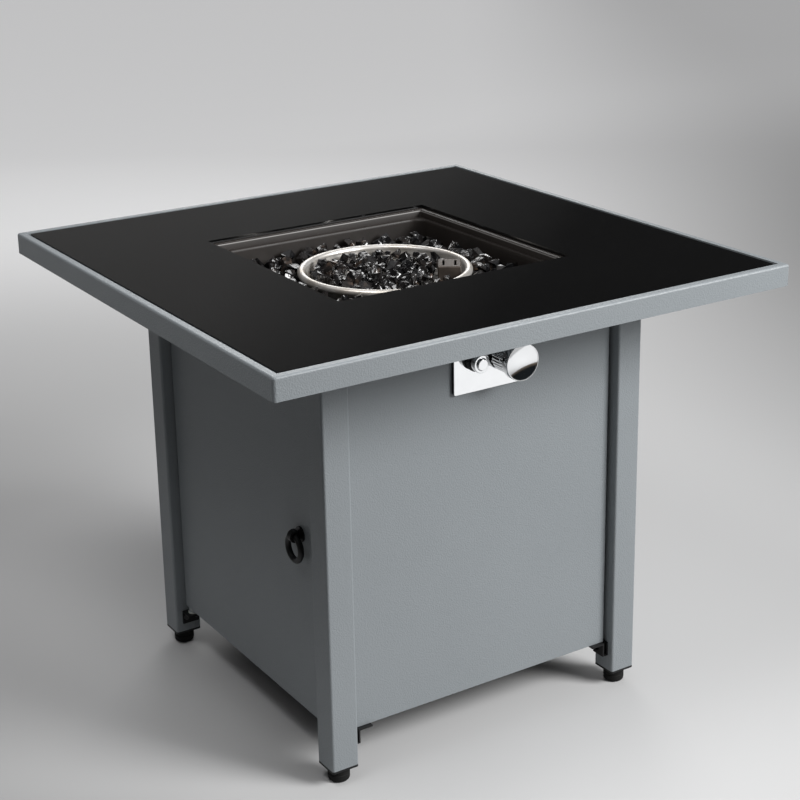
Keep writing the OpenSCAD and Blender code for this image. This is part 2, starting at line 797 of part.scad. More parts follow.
// Angular lump with a flat base: an upright block cut by a tilted one
module stone(side, h, seed) {
  turn = rands(0, 1, 4, seed);
  intersection() {
    rotate([0, 0, stone_twist * (2 * turn[0] - 1)]) translate([-side / 2, -side / 2, 0])
      cube([side, side, h]);
    translate([0, 0, 0.45 * h]) rotate([22 + 30 * turn[1], 18 + 30 * turn[2], 90 * turn[3]])
      cube([1.15 * side, 1.2 * side, 0.9 * h + 0.35 * side], center = true);
  }
}

// Sites on a shifted grid that reaches out to half a width
function grid_sites(reach, pitch) = let (n = floor(reach / pitch))
  [for (i = [-n:n], j = [-n:n]) let (shift = rands(-stone_shift, stone_shift, 2, 100 * i + j + 5000))
    [i * pitch + shift[0], j * pitch + shift[1]]];

// Free distance from a point to the spark shield's sides
function to_shield(p) = let (q = p - shield_at, c = cos(shield_angle), s = sin(shield_angle),
  u = abs(q.x * c + q.y * s) - shield_depth / 2, v = abs(q.y * c - q.x * s) - shield_w / 2)
  max(u, v) < 0 ? max(u, v) : norm([max(u, 0), max(v, 0)]);

// Free distance from a point to the pan's wall, with its round corners
function to_pan_wall(p) = let (k = pan_w / 2 - bowl_corner_r,
  u = max(abs(p.x) - k, 0), v = max(abs(p.y) - k, 0))
  min(bowl_corner_r - norm([u, v]), pan_w / 2 - max(abs(p.x), abs(p.y)));

// A stone at each site that has room for one, no wider than its cell leaves free when it is twisted
module stones(sites, rooms, z, low_h, pitch) {
  widest = (pitch - 2 * stone_shift - stone_gap) / (cos(stone_twist) + sin(stone_twist));
  for (i = [0:len(sites) - 1]) let (side = min(widest, sqrt(2) * (rooms[i] - stone_gap)))
    if (side > stone_least * pitch) translate([sites[i].x, sites[i].y, z])
      stone(side, low_h + stone_rise * rands(0, 1, 1, 31 * i + 7)[0], 17 * i + 3);
}

module bowl_stones() {
  sites = grid_sites(pan_w / 2, bowl_stone_pitch);
  rooms = [for (p = sites) min(to_pan_wall(p), norm(p) - rim_r - rim_d / 2)];
  color(stone_black) stones(sites, rooms, bowl_floor, bowl_stone_h, bowl_stone_pitch);
}

module burner_stones() {
  sites = grid_sites(dish_r, dish_stone_pitch);
  rooms = [for (p = sites) min(dish_r - norm(p), to_shield(p))];
  color(stone_black) stones(sites, rooms, plate_top, dish_stone_h, dish_stone_pitch);
}

// Frame

module leg(x, y) {
  inner = leg_w - 2 * leg_wall;
  color(grey_coat) difference() {
    translate([x * leg_mid, y * leg_mid, leg_lift]) linear_extrude(deck_under - leg_lift) difference() {
      round_rect(leg_w, leg_w, leg_corner_r);
      round_rect(inner, inner, leg_corner_r - leg_wall / 2);
    }
    bracket_bolt_places() cylinder(d = bolt_d + hole_gap, h = bolt_l + bracket_t);
    pivot_bolt_places() cylinder(d = bolt_d + hole_gap, h = bolt_l + bracket_t);
  }
}

module leg_front_left() {
  leg(-1, -1);
}

module leg_front_right() {
  leg(1, -1);
}

module leg_rear_left() {
  leg(-1, 1);
}

module leg_rear_right() {
  leg(1, 1);
}

// Tube between two legs, drawn for the front and turned to its side
module rail(turn) {
  rotate([0, 0, turn]) translate([-leg_in, -rail_mid, rail_z + rail_h / 2]) rotate([90, 0, 90])
    linear_extrude(2 * leg_in) difference() {
      square([rail_d, rail_h], center = true);
      square([rail_d - 2 * rail_wall, rail_h - 2 * rail_wall], center = true);
    }
}

// Rail that carries a panel, with holes for the top's studs and the panel's screws
module panel_rail(turn) {
  color(black_coat) difference() {
    rail(turn);
    for (at = stud_places()) translate([at.x, at.y, rail_z - over])
      cylinder(d = stud_d + hole_gap, h = rail_h + 2 * over);
    panel_screw_places() cylinder(d = screw_d + hole_gap, h = 6);
  }
}

module rail_front() {
  panel_rail(0);
}

module rail_right() {
  panel_rail(90);
}

module rail_rear() {
  panel_rail(180);
}

module rail_left() {
  color(black_coat) difference() {
    rail(270);
    translate([pivot_x, pivot_y, rail_z - over]) cylinder(d = bush_d + close_gap, h = rail_wall + 2 * over);
    catch_screw_places() cylinder(d = screw_d + hole_gap, h = catch_h + 6);
  }
}

module at_legs() {
  for (x = [-leg_mid, leg_mid], y = [-leg_mid, leg_mid]) translate([x, y, 0]) children();
}

module leg_plugs() {
  color(black_coat) at_legs() difference() {
    union() {
      round_plate(leg_w, leg_w, leg_corner_r, leg_lift - plug_flange, plug_flange);
      round_plate(plug_w, plug_w, leg_corner_r - leg_wall / 2, leg_lift, plug_depth);
    }
    translate([0, 0, leg_lift - plug_flange - over])
      cylinder(d = foot_stem_d + close_gap, h = plug_depth + plug_flange + 2 * over);
  }
}

module rubber_feet() {
  top = leg_lift - plug_flange;
  round_r = 4;
  color(black_coat) at_legs() {
    rotate_extrude() {
      translate([0, round_r]) square([foot_d / 2, top - round_r]);
      square([foot_d / 2 - round_r, top]);
      translate([foot_d / 2 - round_r, round_r]) circle(round_r);
    }
    translate([0, 0, top]) cylinder(d = foot_stem_d, h = foot_stem_h);
  }
}

// Fixed panel drawn for the front: a face with side and bottom flanges folded in
module panel(turn) {
  h = panel_top - panel_lift;
  w = 2 * panel_half;
  rotate([0, 0, turn]) translate([-panel_half, -face_y, panel_lift]) {
    cube([w, panel_t, h]);
    cube([w, fold_d, panel_t]);
    for (x = [0, w - panel_t]) translate([x, 0, 0]) cube([panel_t, fold_d, rail_z - panel_lift - 1]);
  }
}

module drilled_panel(turn) {
  difference() {
    panel(turn);
    panel_screw_places() cylinder(d = screw_d + hole_gap, h = 12, center = true);
    tab_screw_places() cylinder(d = screw_d + hole_gap, h = 12);
  }
}

module front_panel() {
  color(grey_coat) difference() {
    drilled_panel(0);
    control_holes(face_y - 5, face_y + 5);
  }
}

module right_panel() {
  color(grey_coat) drilled_panel(90);
}

module rear_panel() {
  color(grey_coat) drilled_panel(180);
}

module base_shelf() {
  depth = 2 * shelf_half;
  hole = cylinder_hole_d;
  lip = 2 * (leg_in - pivot_reach - shelf_gap);
  notch = panel_half - panel_t - hole_gap;
  color(black_coat) difference() {
    union() {
      translate([-shelf_left, -shelf_half, shelf_z]) cube([shelf_left + shelf_half, depth, shelf_t]);
      translate([-shelf_left, -lip / 2, shelf_z - shelf_lip_h]) cube([shelf_t, lip, shelf_lip_h]);
      translate([0, 0, shelf_z - hole_collar_h]) cylinder(d = hole + 2 * shelf_t, h = hole_collar_h);
    }
    translate([0, 0, shelf_z - hole_collar_h - over])
      cylinder(d = hole, h = hole_collar_h + shelf_t + 2 * over);
    for (x = [-1, 1], y = [-1, 1]) translate([x * frame_half, y * frame_half, shelf_z])
      cube([2 * (frame_half - notch), 2 * (frame_half - notch), 4 * shelf_t], center = true);
    tab_screw_places() cylinder(d = screw_d + hole_gap, h = 12);
  }
}

// Each lower end of the three fixed panels, drawn for the front's right end
module panel_ends() {
  for (turn = [0, 90, 180], side = [0, 1]) rotate([0, 0, turn]) mirror([side, 0, 0]) children();
}

module bracket_bolt_places() {
  panel_ends() translate([leg_in - bracket_t, -bracket_y, bolt_z]) rotate([0, 90, 0]) children();
}

module tab_screw_places() {
  panel_ends() translate([tab_screw_x, -bracket_y, panel_lift - bracket_t]) children();
}

module panel_brackets() {
  color(black_coat) difference() {
    panel_ends() translate([0, -bracket_front, 0]) {
      for (x = [leg_in - bracket_deep, leg_in - bracket_t]) translate([x, 0, bracket_z])
        cube([bracket_t, bracket_w, bracket_h]);
      translate([leg_in - bracket_deep, 0, bracket_z]) cube([bracket_deep, bracket_w, bracket_t]);
      translate([leg_in - bracket_tab, 0, panel_lift - bracket_t])
        cube([bracket_tab - bracket_deep + bracket_t, bracket_w, bracket_t]);
    }
    bracket_bolt_places() {
      translate([0, 0, -over]) cylinder(d = bolt_d + hole_gap, h = bracket_t + 2 * over);
      translate([0, 0, -bracket_deep]) cylinder(d = tool_hole_d, h = bracket_deep - over);
    }
    tab_screw_places() translate([0, 0, -over]) cylinder(d = screw_d + hole_gap, h = bracket_t + 2 * over);
  }
}

module hex_bolt() {
  translate([0, 0, -bolt_head_h]) cylinder(d = bolt_hex, h = bolt_head_h, $fn = 6);
  cylinder(d = bolt_d, h = bolt_l);
}

module bracket_bolts() {
  color(zinc) {
    bracket_bolt_places() hex_bolt();
    pivot_bolt_places() hex_bolt();
  }
}

module top_nuts() {
  color(zinc) for (at = stud_places()) translate([at.x, at.y, rail_z - nut_h]) difference() {
    cylinder(d = nut_hex, h = nut_h, $fn = 6);
    translate([0, 0, -over]) cylinder(d = stud_d + close_gap, h = nut_h + 2 * over);
  }
}

module panel_screw_places() {
  for (turn = [0, 90, 180], x = [-panel_screw_x, 0, panel_screw_x]) rotate([0, 0, turn])
    translate([x, -face_y, panel_screw_z]) rotate([-90, 0, 0]) children();
}

module valve_screw_places() {
  for (side = [-1, 1]) translate([knob_x, -plate_y, control_z + side * valve_screw_r])
    rotate([-90, 0, 0]) children();
}

module pan_screws() {
  color(zinc) {
    bowl_screw_places() pan_screw(top_sheet + bowl_sheet);
    panel_screw_places() pan_screw(panel_t + rail_wall + 2);
    tab_screw_places() pan_screw(bracket_t + panel_t + shelf_t + 1.5);
    valve_screw_places() pan_screw(valve_screw_l);
    catch_screw_places() pan_screw(catch_h + rail_wall + 1);
  }
}

// Door

module door_panel() {
  w = 2 * panel_half;
  h = door_top - panel_lift;
  color(grey_coat) difference() {
    rotate([0, 0, 270]) translate([-panel_half, -face_y, panel_lift]) {
      cube([w, panel_t, h]);
      for (x = [0, w - panel_t]) translate([x, 0, 0]) cube([panel_t, fold_d, h]);
      for (z = [0, h - panel_t]) translate([0, 0, z]) cube([w, fold_d, panel_t]);
      translate([w - door_return, fold_d - panel_t, 0]) cube([door_return, panel_t, h]);
    }
    translate([pivot_x, pivot_y, panel_lift - over]) cylinder(d = pin_d + close_gap, h = h + 2 * over);
    translate([-face_y, ring_y, eye_z]) rotate([0, 90, 0])
      cylinder(d = bolt_d + hole_gap, h = 6, center = true);
  }
}

// Pin with a collar outside the door's flange, a clinched head inside it and a tail in its bush
module pivot_pin(tail, collar) {
  translate([0, 0, -panel_t - pin_head_h]) cylinder(d = pin_collar_d - 2, h = pin_head_h);
  translate([0, 0, -panel_t - over]) cylinder(d = pin_d, h = panel_t + over + tail);
  cylinder(d = pin_collar_d, h = collar);
}

module door_pins() {
  low_gap = panel_lift - (pivot_z + bush_flange_h);
  top_gap = rail_z - bush_flange_h - door_top;
  color(zinc) {
    translate([pivot_x, pivot_y, panel_lift]) mirror([0, 0, 1])
      pivot_pin(low_gap + bush_flange_h + bracket_t, low_gap - running_gap);
    translate([pivot_x, pivot_y, door_top])
      pivot_pin(top_gap + bush_flange_h + bracket_t, top_gap - running_gap - door_lift);
  }
}

module pivot_bolt_places() {
  for (side = [-1, 1]) translate([pivot_x + side * pivot_bolt_x, leg_in - bracket_t, pivot_bolt_z])
    rotate([-90, 0, 0]) children();
}

module pivot_bracket() {
  color(black_coat) difference() {
    translate([pivot_x - pivot_w / 2, leg_in, pivot_z]) {
      translate([0, -bracket_t, -bracket_h]) cube([pivot_w, bracket_t, bracket_h]);
      translate([0, -pivot_reach, -bracket_t]) cube([pivot_w, pivot_reach, bracket_t]);
    }
    translate([pivot_x, pivot_y, pivot_z - bracket_t - over])
      cylinder(d = bush_d + close_gap, h = bracket_t + 2 * over);
    pivot_bolt_places() translate([0, 0, -over]) cylinder(d = bolt_d + hole_gap, h = bracket_t + 2 * over);
  }
}

// Flanged bush, flange up from z = 0 and sleeve down
module pivot_bush(sleeve) {
  difference() {
    union() {
      cylinder(d = bush_flange_d, h = bush_flange_h);
      translate([0, 0, -sleeve]) cylinder(d = bush_d, h = sleeve);
    }
    translate([0, 0, -sleeve - over])
      cylinder(d = pin_d + 2 * running_gap, h = sleeve + bush_flange_h + 2 * over);
  }
}

module pivot_bushes() {
  color(nylon) {
    translate([pivot_x, pivot_y, pivot_z]) pivot_bush(bracket_t);
    translate([pivot_x, pivot_y, rail_z]) mirror([0, 0, 1]) pivot_bush(rail_wall);
  }
}

module catch_screw_places() {
  x = -(face_y - fold_d - catch_gap - catch_d / 3);
  for (y = [-1, 1]) translate([x, catch_y() + y * catch_l / 4, rail_z - catch_h]) children();
}

function catch_y() = -(panel_half - panel_t - 2 - catch_l / 2);

module magnet_catch() {
  x = -(face_y - fold_d - catch_gap);
  color(black_coat) difference() {
    translate([x, catch_y() - catch_l / 2, rail_z - catch_h]) cube([catch_d, catch_l, catch_h]);
    catch_screw_places() translate([0, 0, -over]) cylinder(d = screw_d + hole_gap, h = catch_h + 2 * over);
  }
}

module ring_eye() {
  mid_x = -(face_y + ring_offset);
  color(black_coat) difference() {
    translate([0, ring_y, eye_z]) {
      translate([mid_x, 0, 0]) rotate([90, 0, 0]) cylinder(d = eye_d, h = eye_t, center = true);
      translate([-face_y - eye_base_t, 0, 0]) rotate([0, 90, 0]) cylinder(d = eye_base_d, h = eye_base_t);
      translate([mid_x + eye_d / 2 - 2, 0, 0]) rotate([0, 90, 0])
        cylinder(d = eye_t, h = ring_offset - eye_d / 2 + 2);
      translate([-face_y - over, 0, 0]) rotate([0, 90, 0])
        cylinder(d = bolt_d, h = panel_t + ring_nut_h + 2 * over);
    }
    translate([mid_x, ring_y, eye_z]) rotate([90, 0, 0])
      cylinder(d = eye_hole_d, h = eye_t + 2 * over, center = true);
  }
}

module ring_nut() {
  color(zinc) translate([-skin_y, ring_y, eye_z]) rotate([0, 90, 0]) difference() {
    cylinder(d = bolt_hex, h = ring_nut_h, $fn = 6);
    translate([0, 0, -over]) cylinder(d = bolt_d + close_gap, h = ring_nut_h + 2 * over);
  }
}

module ring_pull() {
  color(black_coat) translate([-(face_y + ring_offset), ring_y, ring_z]) rotate([0, 90, 0])
    rotate_extrude() translate([ring_r, 0]) circle(d = ring_bar);
}

// Controls

// Holes in the plate, the box and the panel for the spindle, the igniter and the valve's screws
module control_holes(y_in, y_out) {
  front_round(knob_x, control_z, y_in, y_out, spindle_d + 2);
  front_round(button_x, control_z, y_in, y_out, neck_d + hole_gap);
  valve_screw_places() cylinder(d = screw_d + hole_gap, h = 24, center = true);
}

// Plate on the front with the control holes, from one distance out to another
module control_sheet(y_in, y_out) {
  difference() {
    translate([control_x, -y_in, control_z]) rotate([90, 0, 0])
      round_plate(plate_w, plate_h, face_corner_r, 0, y_out - y_in);
    control_holes(y_in - over, y_out + over);
  }
}

module control_plate() {
  color(bright) control_sheet(face_y + box_d, plate_y);
}

module control_box() {
  color(black_coat) control_sheet(face_y, face_y + box_d);
}

module valve_body() {
  color(zinc) difference() {
    union() {
      translate([knob_x - valve_w / 2, -skin_y, valve_low])
        cube([valve_w, valve_flange + valve_l, valve_top - valve_low]);
      translate([knob_x, inlet_y, valve_low - inlet_l]) cylinder(d = inlet_d, h = inlet_l);
      front_round(knob_x, outlet_z, valve_back - outlet_l, valve_back, outlet_d);
    }
    front_round(knob_x, control_z, chamber_front - over, skin_y + over, spindle_d + 2 * running_gap);
    front_round(knob_x, control_z, valve_back - over, chamber_front, plunger_d + 2 * running_gap);
    translate([knob_x, inlet_y, valve_low - inlet_l - over])
      cylinder(d = inlet_bore, h = inlet_l + over + control_z - valve_low);
    front_round(knob_x, outlet_z, valve_back - outlet_l - over, port_y + port_bore, pipe_bore);
    translate([knob_x, -port_y, outlet_z]) cylinder(d = port_bore, h = control_z - outlet_z);
    valve_screw_places() cylinder(d = screw_d + close_gap, h = valve_screw_l + over);
  }
}

module valve_cap() {
  color(brass) difference() {
    front_round(knob_x, control_z, valve_back - cap_l, valve_back, cap_d);
    front_round(knob_x, control_z, valve_back - cap_l - over, valve_back + over, jet_bore);
  }
}

module valve_spindle() {
  color(zinc) difference() {
    front_round(knob_x, control_z, chamber_front, spindle_out, spindle_d);
    translate([knob_x - spindle_d, -spindle_out - over, control_z + spindle_d / 2 - flat_cut])
      cube([2 * spindle_d, spindle_out - knob_back + over, flat_cut + over]);
  }
}

module valve_plunger() {
  color(brass) front_round(knob_x, control_z, plunger_back, chamber_front - running_gap, plunger_d);
}

module valve_spring() {
  l = plunger_back - valve_back - 2 * running_gap;
  color(zinc) translate([knob_x, -(valve_back + running_gap), control_z]) rotate([90, 0, 0])
    coil_spring(plunger_d - spring_wire, spring_wire, l, 5);
}

module knob_skirt() {
  front = spindle_out;
  color(bright) difference() {
    front_round(knob_x, control_z, knob_back, front, knob_skirt_d);
    difference() {
      front_round(knob_x, control_z, knob_back - over, knob_back + knob_hollow, knob_hollow_d);
      front_round(knob_x, control_z, knob_back - 2 * over, knob_back + knob_hollow + over, knob_hub_d);
    }
    difference() {
      front_round(knob_x, control_z, knob_back - over, front + over, spindle_d + close_gap);
      translate([knob_x - spindle_d, -front - over, control_z + (spindle_d + close_gap) / 2 - flat_cut])
        cube([2 * spindle_d, front - knob_back + 2 * over, flat_cut + over]);
    }
    for (k = [0:knob_ridges - 1])
      let (a = 360 * k / knob_ridges, at = knob_skirt_d / 2 * [cos(a), sin(a)])
      front_round(knob_x + at.x, control_z + at.y, knob_back + ridge_start, front + over, ridge_d);
  }
}

// Domed cap, turned about the knob's axis
module knob_cap() {
  edge = 3;
  foot = 2;
  r = knob_d / 2;
  color(bright) translate([knob_x, -spindle_out, control_z]) rotate([90, 0, 0]) rotate_extrude() {
    square([knob_skirt_d / 2 - ridge_d / 2, foot]);
    translate([0, foot]) square([r, knob_cap_h - edge - foot]);
    square([r - edge, knob_cap_h]);
    translate([r - edge, knob_cap_h - edge]) circle(edge);
  }
}

module igniter_body() {
  color(black_coat) difference() {
    union() {
      front_round(button_x, control_z, skin_y - igniter_flange_t, neck_out, neck_d);
      front_round(button_x, control_z, skin_y - igniter_flange_t, skin_y, igniter_flange_d);
      front_round(button_x, control_z, barrel_back, skin_y - igniter_flange_t, barrel_d);
    }
    front_round(button_x, control_z, battery_front, neck_out + over, neck_bore);
    front_round(button_x, control_z, battery_back, battery_front + over, battery_d + 0.4);
  }
}

module igniter_nut() {
  color(black_coat) difference() {
    front_round(button_x, control_z, plate_y, plate_y + neck_nut_l, bezel_d + 2);
    front_round(button_x, control_z, plate_y - over, plate_y + neck_nut_l + over, neck_d + close_gap);
  }
}

module igniter_bezel() {
  color(bright) difference() {
    front_round(button_x, control_z, plate_y + neck_nut_l, bezel_out, bezel_d);
    front_round(button_x, control_z, plate_y + neck_nut_l - over, neck_out, neck_d + close_gap);
    front_round(button_x, control_z, neck_out - over, bezel_out + over, button_d + 4 * running_gap);
  }
}

module igniter_button() {
  back = neck_out - button_collar;
  color(bright) {
    front_round(button_x, control_z, back, button_out, button_d);
    front_round(button_x, control_z, back, neck_out - running_gap, neck_bore - 8 * running_gap);
  }
}

module igniter_spring() {
  l = neck_out - button_collar - battery_front - 2 * running_gap;
  color(zinc) translate([button_x, -(battery_front + running_gap), control_z]) rotate([90, 0, 0])
    coil_spring(button_spring_d, spring_wire, l, 4);
}

module igniter_battery() {
  color(bright)
    front_round(button_x, control_z, battery_back + running_gap, battery_front - running_gap, battery_d);
}

top_frame();
glass_top();
glass_pads();
fire_bowl();
burner_dish();
burner_plate();
burner_elbow();
burner_nut();
air_mixer();
gas_jet();
gas_pipe();
pipe_nuts();
spark_shield();
electrode();
thermocouple();
ignition_lead();
thermocouple_lead();
bowl_stones();
burner_stones();
leg_front_left();
leg_front_right();
leg_rear_left();
leg_rear_right();
rail_front();
rail_right();
rail_rear();
rail_left();
leg_plugs();
rubber_feet();
front_panel();
right_panel();
rear_panel();
base_shelf();
panel_brackets();
bracket_bolts();
top_nuts();
pan_screws();
door_panel();
door_pins();
pivot_bracket();
pivot_bushes();
magnet_catch();
ring_eye();
ring_nut();
ring_pull();
control_plate();
control_box();
valve_body();
valve_cap();
valve_spindle();
valve_plunger();
valve_spring();
knob_skirt();
knob_cap();
igniter_body();
igniter_nut();
igniter_bezel();
igniter_button();
igniter_spring();
igniter_battery();
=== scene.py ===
"""Looks of a square gas fire pit table: grey coated steel, a black glass top and a burner sunk in stones."""

import json
import math
import random

import bmesh
import bpy
from mathutils import Matrix, Vector

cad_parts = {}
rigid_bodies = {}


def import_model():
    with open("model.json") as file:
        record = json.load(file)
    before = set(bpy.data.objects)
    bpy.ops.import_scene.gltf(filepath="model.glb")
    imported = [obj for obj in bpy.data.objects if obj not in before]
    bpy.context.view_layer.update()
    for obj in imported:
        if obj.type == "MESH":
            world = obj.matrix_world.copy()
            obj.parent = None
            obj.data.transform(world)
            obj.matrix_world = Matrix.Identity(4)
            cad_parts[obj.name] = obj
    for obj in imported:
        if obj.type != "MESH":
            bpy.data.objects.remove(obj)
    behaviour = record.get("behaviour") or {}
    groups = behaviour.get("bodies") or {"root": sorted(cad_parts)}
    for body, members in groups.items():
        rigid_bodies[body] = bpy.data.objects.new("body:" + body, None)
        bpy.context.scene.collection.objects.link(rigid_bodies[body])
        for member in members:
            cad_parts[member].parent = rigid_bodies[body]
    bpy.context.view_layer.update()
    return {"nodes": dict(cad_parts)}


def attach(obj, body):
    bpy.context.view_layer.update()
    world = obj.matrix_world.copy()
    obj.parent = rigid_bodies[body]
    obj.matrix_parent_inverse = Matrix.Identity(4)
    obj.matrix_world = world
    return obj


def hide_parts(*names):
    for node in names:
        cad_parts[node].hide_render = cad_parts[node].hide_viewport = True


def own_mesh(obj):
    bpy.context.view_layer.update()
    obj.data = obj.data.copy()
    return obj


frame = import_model()


# Rubber feet: round black glides moulded in one piece, with a groove where the mould parts and a soft
# bottom edge. Each is pushed by its stem into the plug of its leg, so all four are the same moulding.
class Shade:
    """A shader socket in an expression: operators add Math nodes, and node() adds any other node."""

    def __init__(self, tree, socket=None):
        self.tree = tree
        self.socket = socket

    def node(self, kind, settings=None, sockets=None, out=0):
        made = self.tree.nodes.new("ShaderNode" + kind)
        for name, value in (settings or {}).items():
            if name == "stops":
                ramp = made.color_ramp
                ramp.elements.remove(ramp.elements[1])
                ramp.elements[0].position, ramp.elements[0].color = value[0]
                for place, colour in value[1:]:
                    ramp.elements.new(place).color = colour
            else:
                setattr(made, name, value)
        for name, value in (sockets or {}).items():
            if isinstance(value, Shade):
                self.tree.links.new(value.socket, made.inputs[name])
            else:
                made.inputs[name].default_value = value
        return Shade(self.tree, made.outputs[out])

    def math(self, operation, *values):
        return self.node("Math", {"operation": operation}, dict(enumerate(values)))

    def __add__(self, other):
        return self.math("ADD", self, other)

    def __sub__(self, other):
        return self.math("SUBTRACT", self, other)

    def __rsub__(self, other):
        return self.math("SUBTRACT", other, self)

    def __mul__(self, other):
        return self.math("MULTIPLY", self, other)

    __radd__ = __add__
    __rmul__ = __mul__

    def tint(self, low, high):
        return self.node("Mix", {"data_type": "RGBA"}, {0: self, 6: (*low, 1), 7: (*high, 1)}, out=2)

    def into(self, shader, socket):
        self.tree.links.new(self.socket, shader.inputs[socket])


def new_finish(name, constants):
    """A material with its fixed values set; gives it, its shader and the piece's own coordinates."""
    material = bpy.data.materials.new(name)
    material.use_nodes = True
    shader = material.node_tree.nodes["Principled BSDF"]
    for socket, value in constants.items():
        shader.inputs[socket].default_value = value
    return material, shader, Shade(material.node_tree).node("TexCoord", out="Object")


def roughened(at, height, distance, strength):
    """A fine relief in the finish, from a height pattern."""
    return at.node("Bump", None, {"Height": height, "Distance": distance, "Strength": strength})


def noise(at, scale, detail):
    """A cloudy pattern from 0 to 1, finer with a larger scale."""
    return at.node("TexNoise", None, {"Vector": at, "Scale": scale, "Detail": detail})


def as_piece(name, mesh, node, body):
    """Puts a finished mesh in the scene in place of a CAD node."""
    piece = bpy.data.objects.new(name, mesh)
    bpy.context.scene.collection.objects.link(piece)
    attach(piece, body)
    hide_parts(node)
    return piece


def smoothed(name, shell, sharp=38):
    """Turns a bmesh into a mesh with smooth faces and sharp edges over an angle."""
    mesh = bpy.data.meshes.new(name)
    shell.to_mesh(mesh)
    shell.free()
    mesh.shade_smooth()
    mesh.set_sharp_from_angle(angle=math.radians(sharp))
    return mesh


def turned(name, profile, steps, shape=None):
    """A mesh turned about z from (radius, height) points; shape may change a ring's radius by its angle."""
    shell = bmesh.new()
    rings = []
    for index, (radius, height) in enumerate(profile):
        if radius == 0:
            rings.append([shell.verts.new((0, 0, height))])
            continue
        ring = []
        for step in range(steps):
            angle = 2 * math.pi * step / steps
            r = shape(index, angle, radius) if shape else radius
            ring.append(shell.verts.new((r * math.cos(angle), r * math.sin(angle), height)))
        rings.append(ring)
    for low, high in zip(rings, rings[1:]):
        for step in range(steps):
            nxt = (step + 1) % steps
            corners = [low[step % len(low)], low[nxt % len(low)]]
            corners += [high[nxt % len(high)], high[step % len(high)]]
            corners = list(dict.fromkeys(corners))
            if len(corners) > 2:
                shell.faces.new(corners)
    bmesh.ops.recalc_face_normals(shell, faces=shell.faces)
    return smoothed(name, shell)


def link_nodes(tree, kind, sockets, settings=None):
    """Adds a geometry node and links or sets its sockets."""
    made = tree.nodes.new(kind)
    for name, value in (settings or {}).items():
        setattr(made, name, value)
    for name, value in sockets.items():
        if isinstance(value, bpy.types.NodeSocket):
            tree.links.new(value, made.inputs[name])
        else:
            made.inputs[name].default_value = value
    return made


def new_tree(name, inputs):
    """An empty geometry tree with named inputs; gives it and its input sockets by name."""
    tree = bpy.data.node_groups.new(name, "GeometryNodeTree")
    tree.interface.new_socket("Geometry", in_out="OUTPUT", socket_type="NodeSocketGeometry")
    for label, kind in [("Geometry", "Geometry"), *inputs]:
        tree.interface.new_socket(label, in_out="INPUT", socket_type="NodeSocket" + kind)
    return tree, {socket.name: socket for socket in tree.nodes.new("NodeGroupInput").outputs}


def run_tree(name, seats, tree, values):
    """Runs a tree on a mesh with its inputs set, and gives the plain mesh that comes out."""
    carrier = bpy.data.objects.new(name, seats)
    bpy.context.scene.collection.objects.link(carrier)
    modifier = carrier.modifiers.new(name, "NODES")
    modifier.node_group = tree
    for item in tree.interface.items_tree:
        if item.in_out == "INPUT" and item.name in values:
            modifier[item.identifier] = values[item.name]
    mesh = bpy.data.meshes.new_from_object(carrier.evaluated_get(bpy.context.evaluated_depsgraph_get()))
    mesh.name = name
    bpy.data.objects.remove(carrier)
    return mesh


def repeated(name, shape, places, material):
    """One small mesh set at each of several places (point, turn), as one plain mesh."""
    seats = bpy.data.meshes.new(name + "_places")
    seats.from_pydata([point for point, turn in places], [], [])
    turns = seats.attributes.new("turn", "FLOAT_VECTOR", "POINT")
    for index, (point, turn) in enumerate(places):
        turns.data[index].vector = turn
    sample = bpy.data.objects.new(name + "_sample", shape)
    bpy.context.scene.collection.objects.link(sample)
    tree, given = new_tree(name, [("Shape", "Object"), ("Size", "Float"), ("Finish", "Material")])
    one = link_nodes(tree, "GeometryNodeObjectInfo", {"Object": given["Shape"], "As Instance": True})
    turn = link_nodes(tree, "GeometryNodeInputNamedAttribute", {"Name": "turn"},
                      {"data_type": "FLOAT_VECTOR"})
    turn = link_nodes(tree, "FunctionNodeEulerToRotation", {"Euler": turn.outputs["Attribute"]})
    copies = link_nodes(tree, "GeometryNodeInstanceOnPoints", {
        "Points": given["Geometry"], "Instance": one.outputs["Geometry"],
        "Rotation": turn.outputs["Rotation"], "Scale": given["Size"]})
    solid = link_nodes(tree, "GeometryNodeRealizeInstances", {"Geometry": copies.outputs["Instances"]})
    coated = link_nodes(tree, "GeometryNodeSetMaterial", {
        "Geometry": solid.outputs["Geometry"], "Material": given["Finish"]})
    link_nodes(tree, "NodeGroupOutput", {"Geometry": coated.outputs["Geometry"]})
    mesh = run_tree(name, seats, tree, {"Shape": sample, "Size": 1.0, "Finish": material})
    bpy.data.objects.remove(sample)
    return mesh


rubber, shader, at = new_finish("foot_rubber", {"Specular IOR Level": 0.22})
dust = noise(at, 60, 5)
dust.tint((0.005, 0.005, 0.005), (0.012, 0.0115, 0.011)).into(shader, "Base Color")
(0.62 + dust * 0.3).into(shader, "Roughness")
roughened(at, noise(at, 1400, 3), 0.00012, 0.6).into(shader, "Normal")
leg_mid = 0.213
foot_r, groove_r, stem_r = 0.0135, 0.0129, 0.004
foot_top, stem_top = 0.019, 0.033
foot = turned("foot", [
    (0, 0), (0.0098, 0), (0.0118, 0.0006), (0.0130, 0.0020), (foot_r, 0.0040), (foot_r, 0.0092),
    (groove_r, 0.0098), (groove_r, 0.0108), (foot_r, 0.0114), (foot_r, 0.0166), (0.0131, 0.0180),
    (0.0120, 0.0189), (stem_r, foot_top), (stem_r, stem_top), (0, stem_top)], 48)
unturned = (0, 0, 0)
foot_places = [((x * leg_mid, y * leg_mid, 0), unturned) for x in (-1, 1) for y in (-1, 1)]
glides = repeated("foot_glides", foot, foot_places, rubber)
as_piece("foot_glides", glides, "rubber_feet", "cabinet")


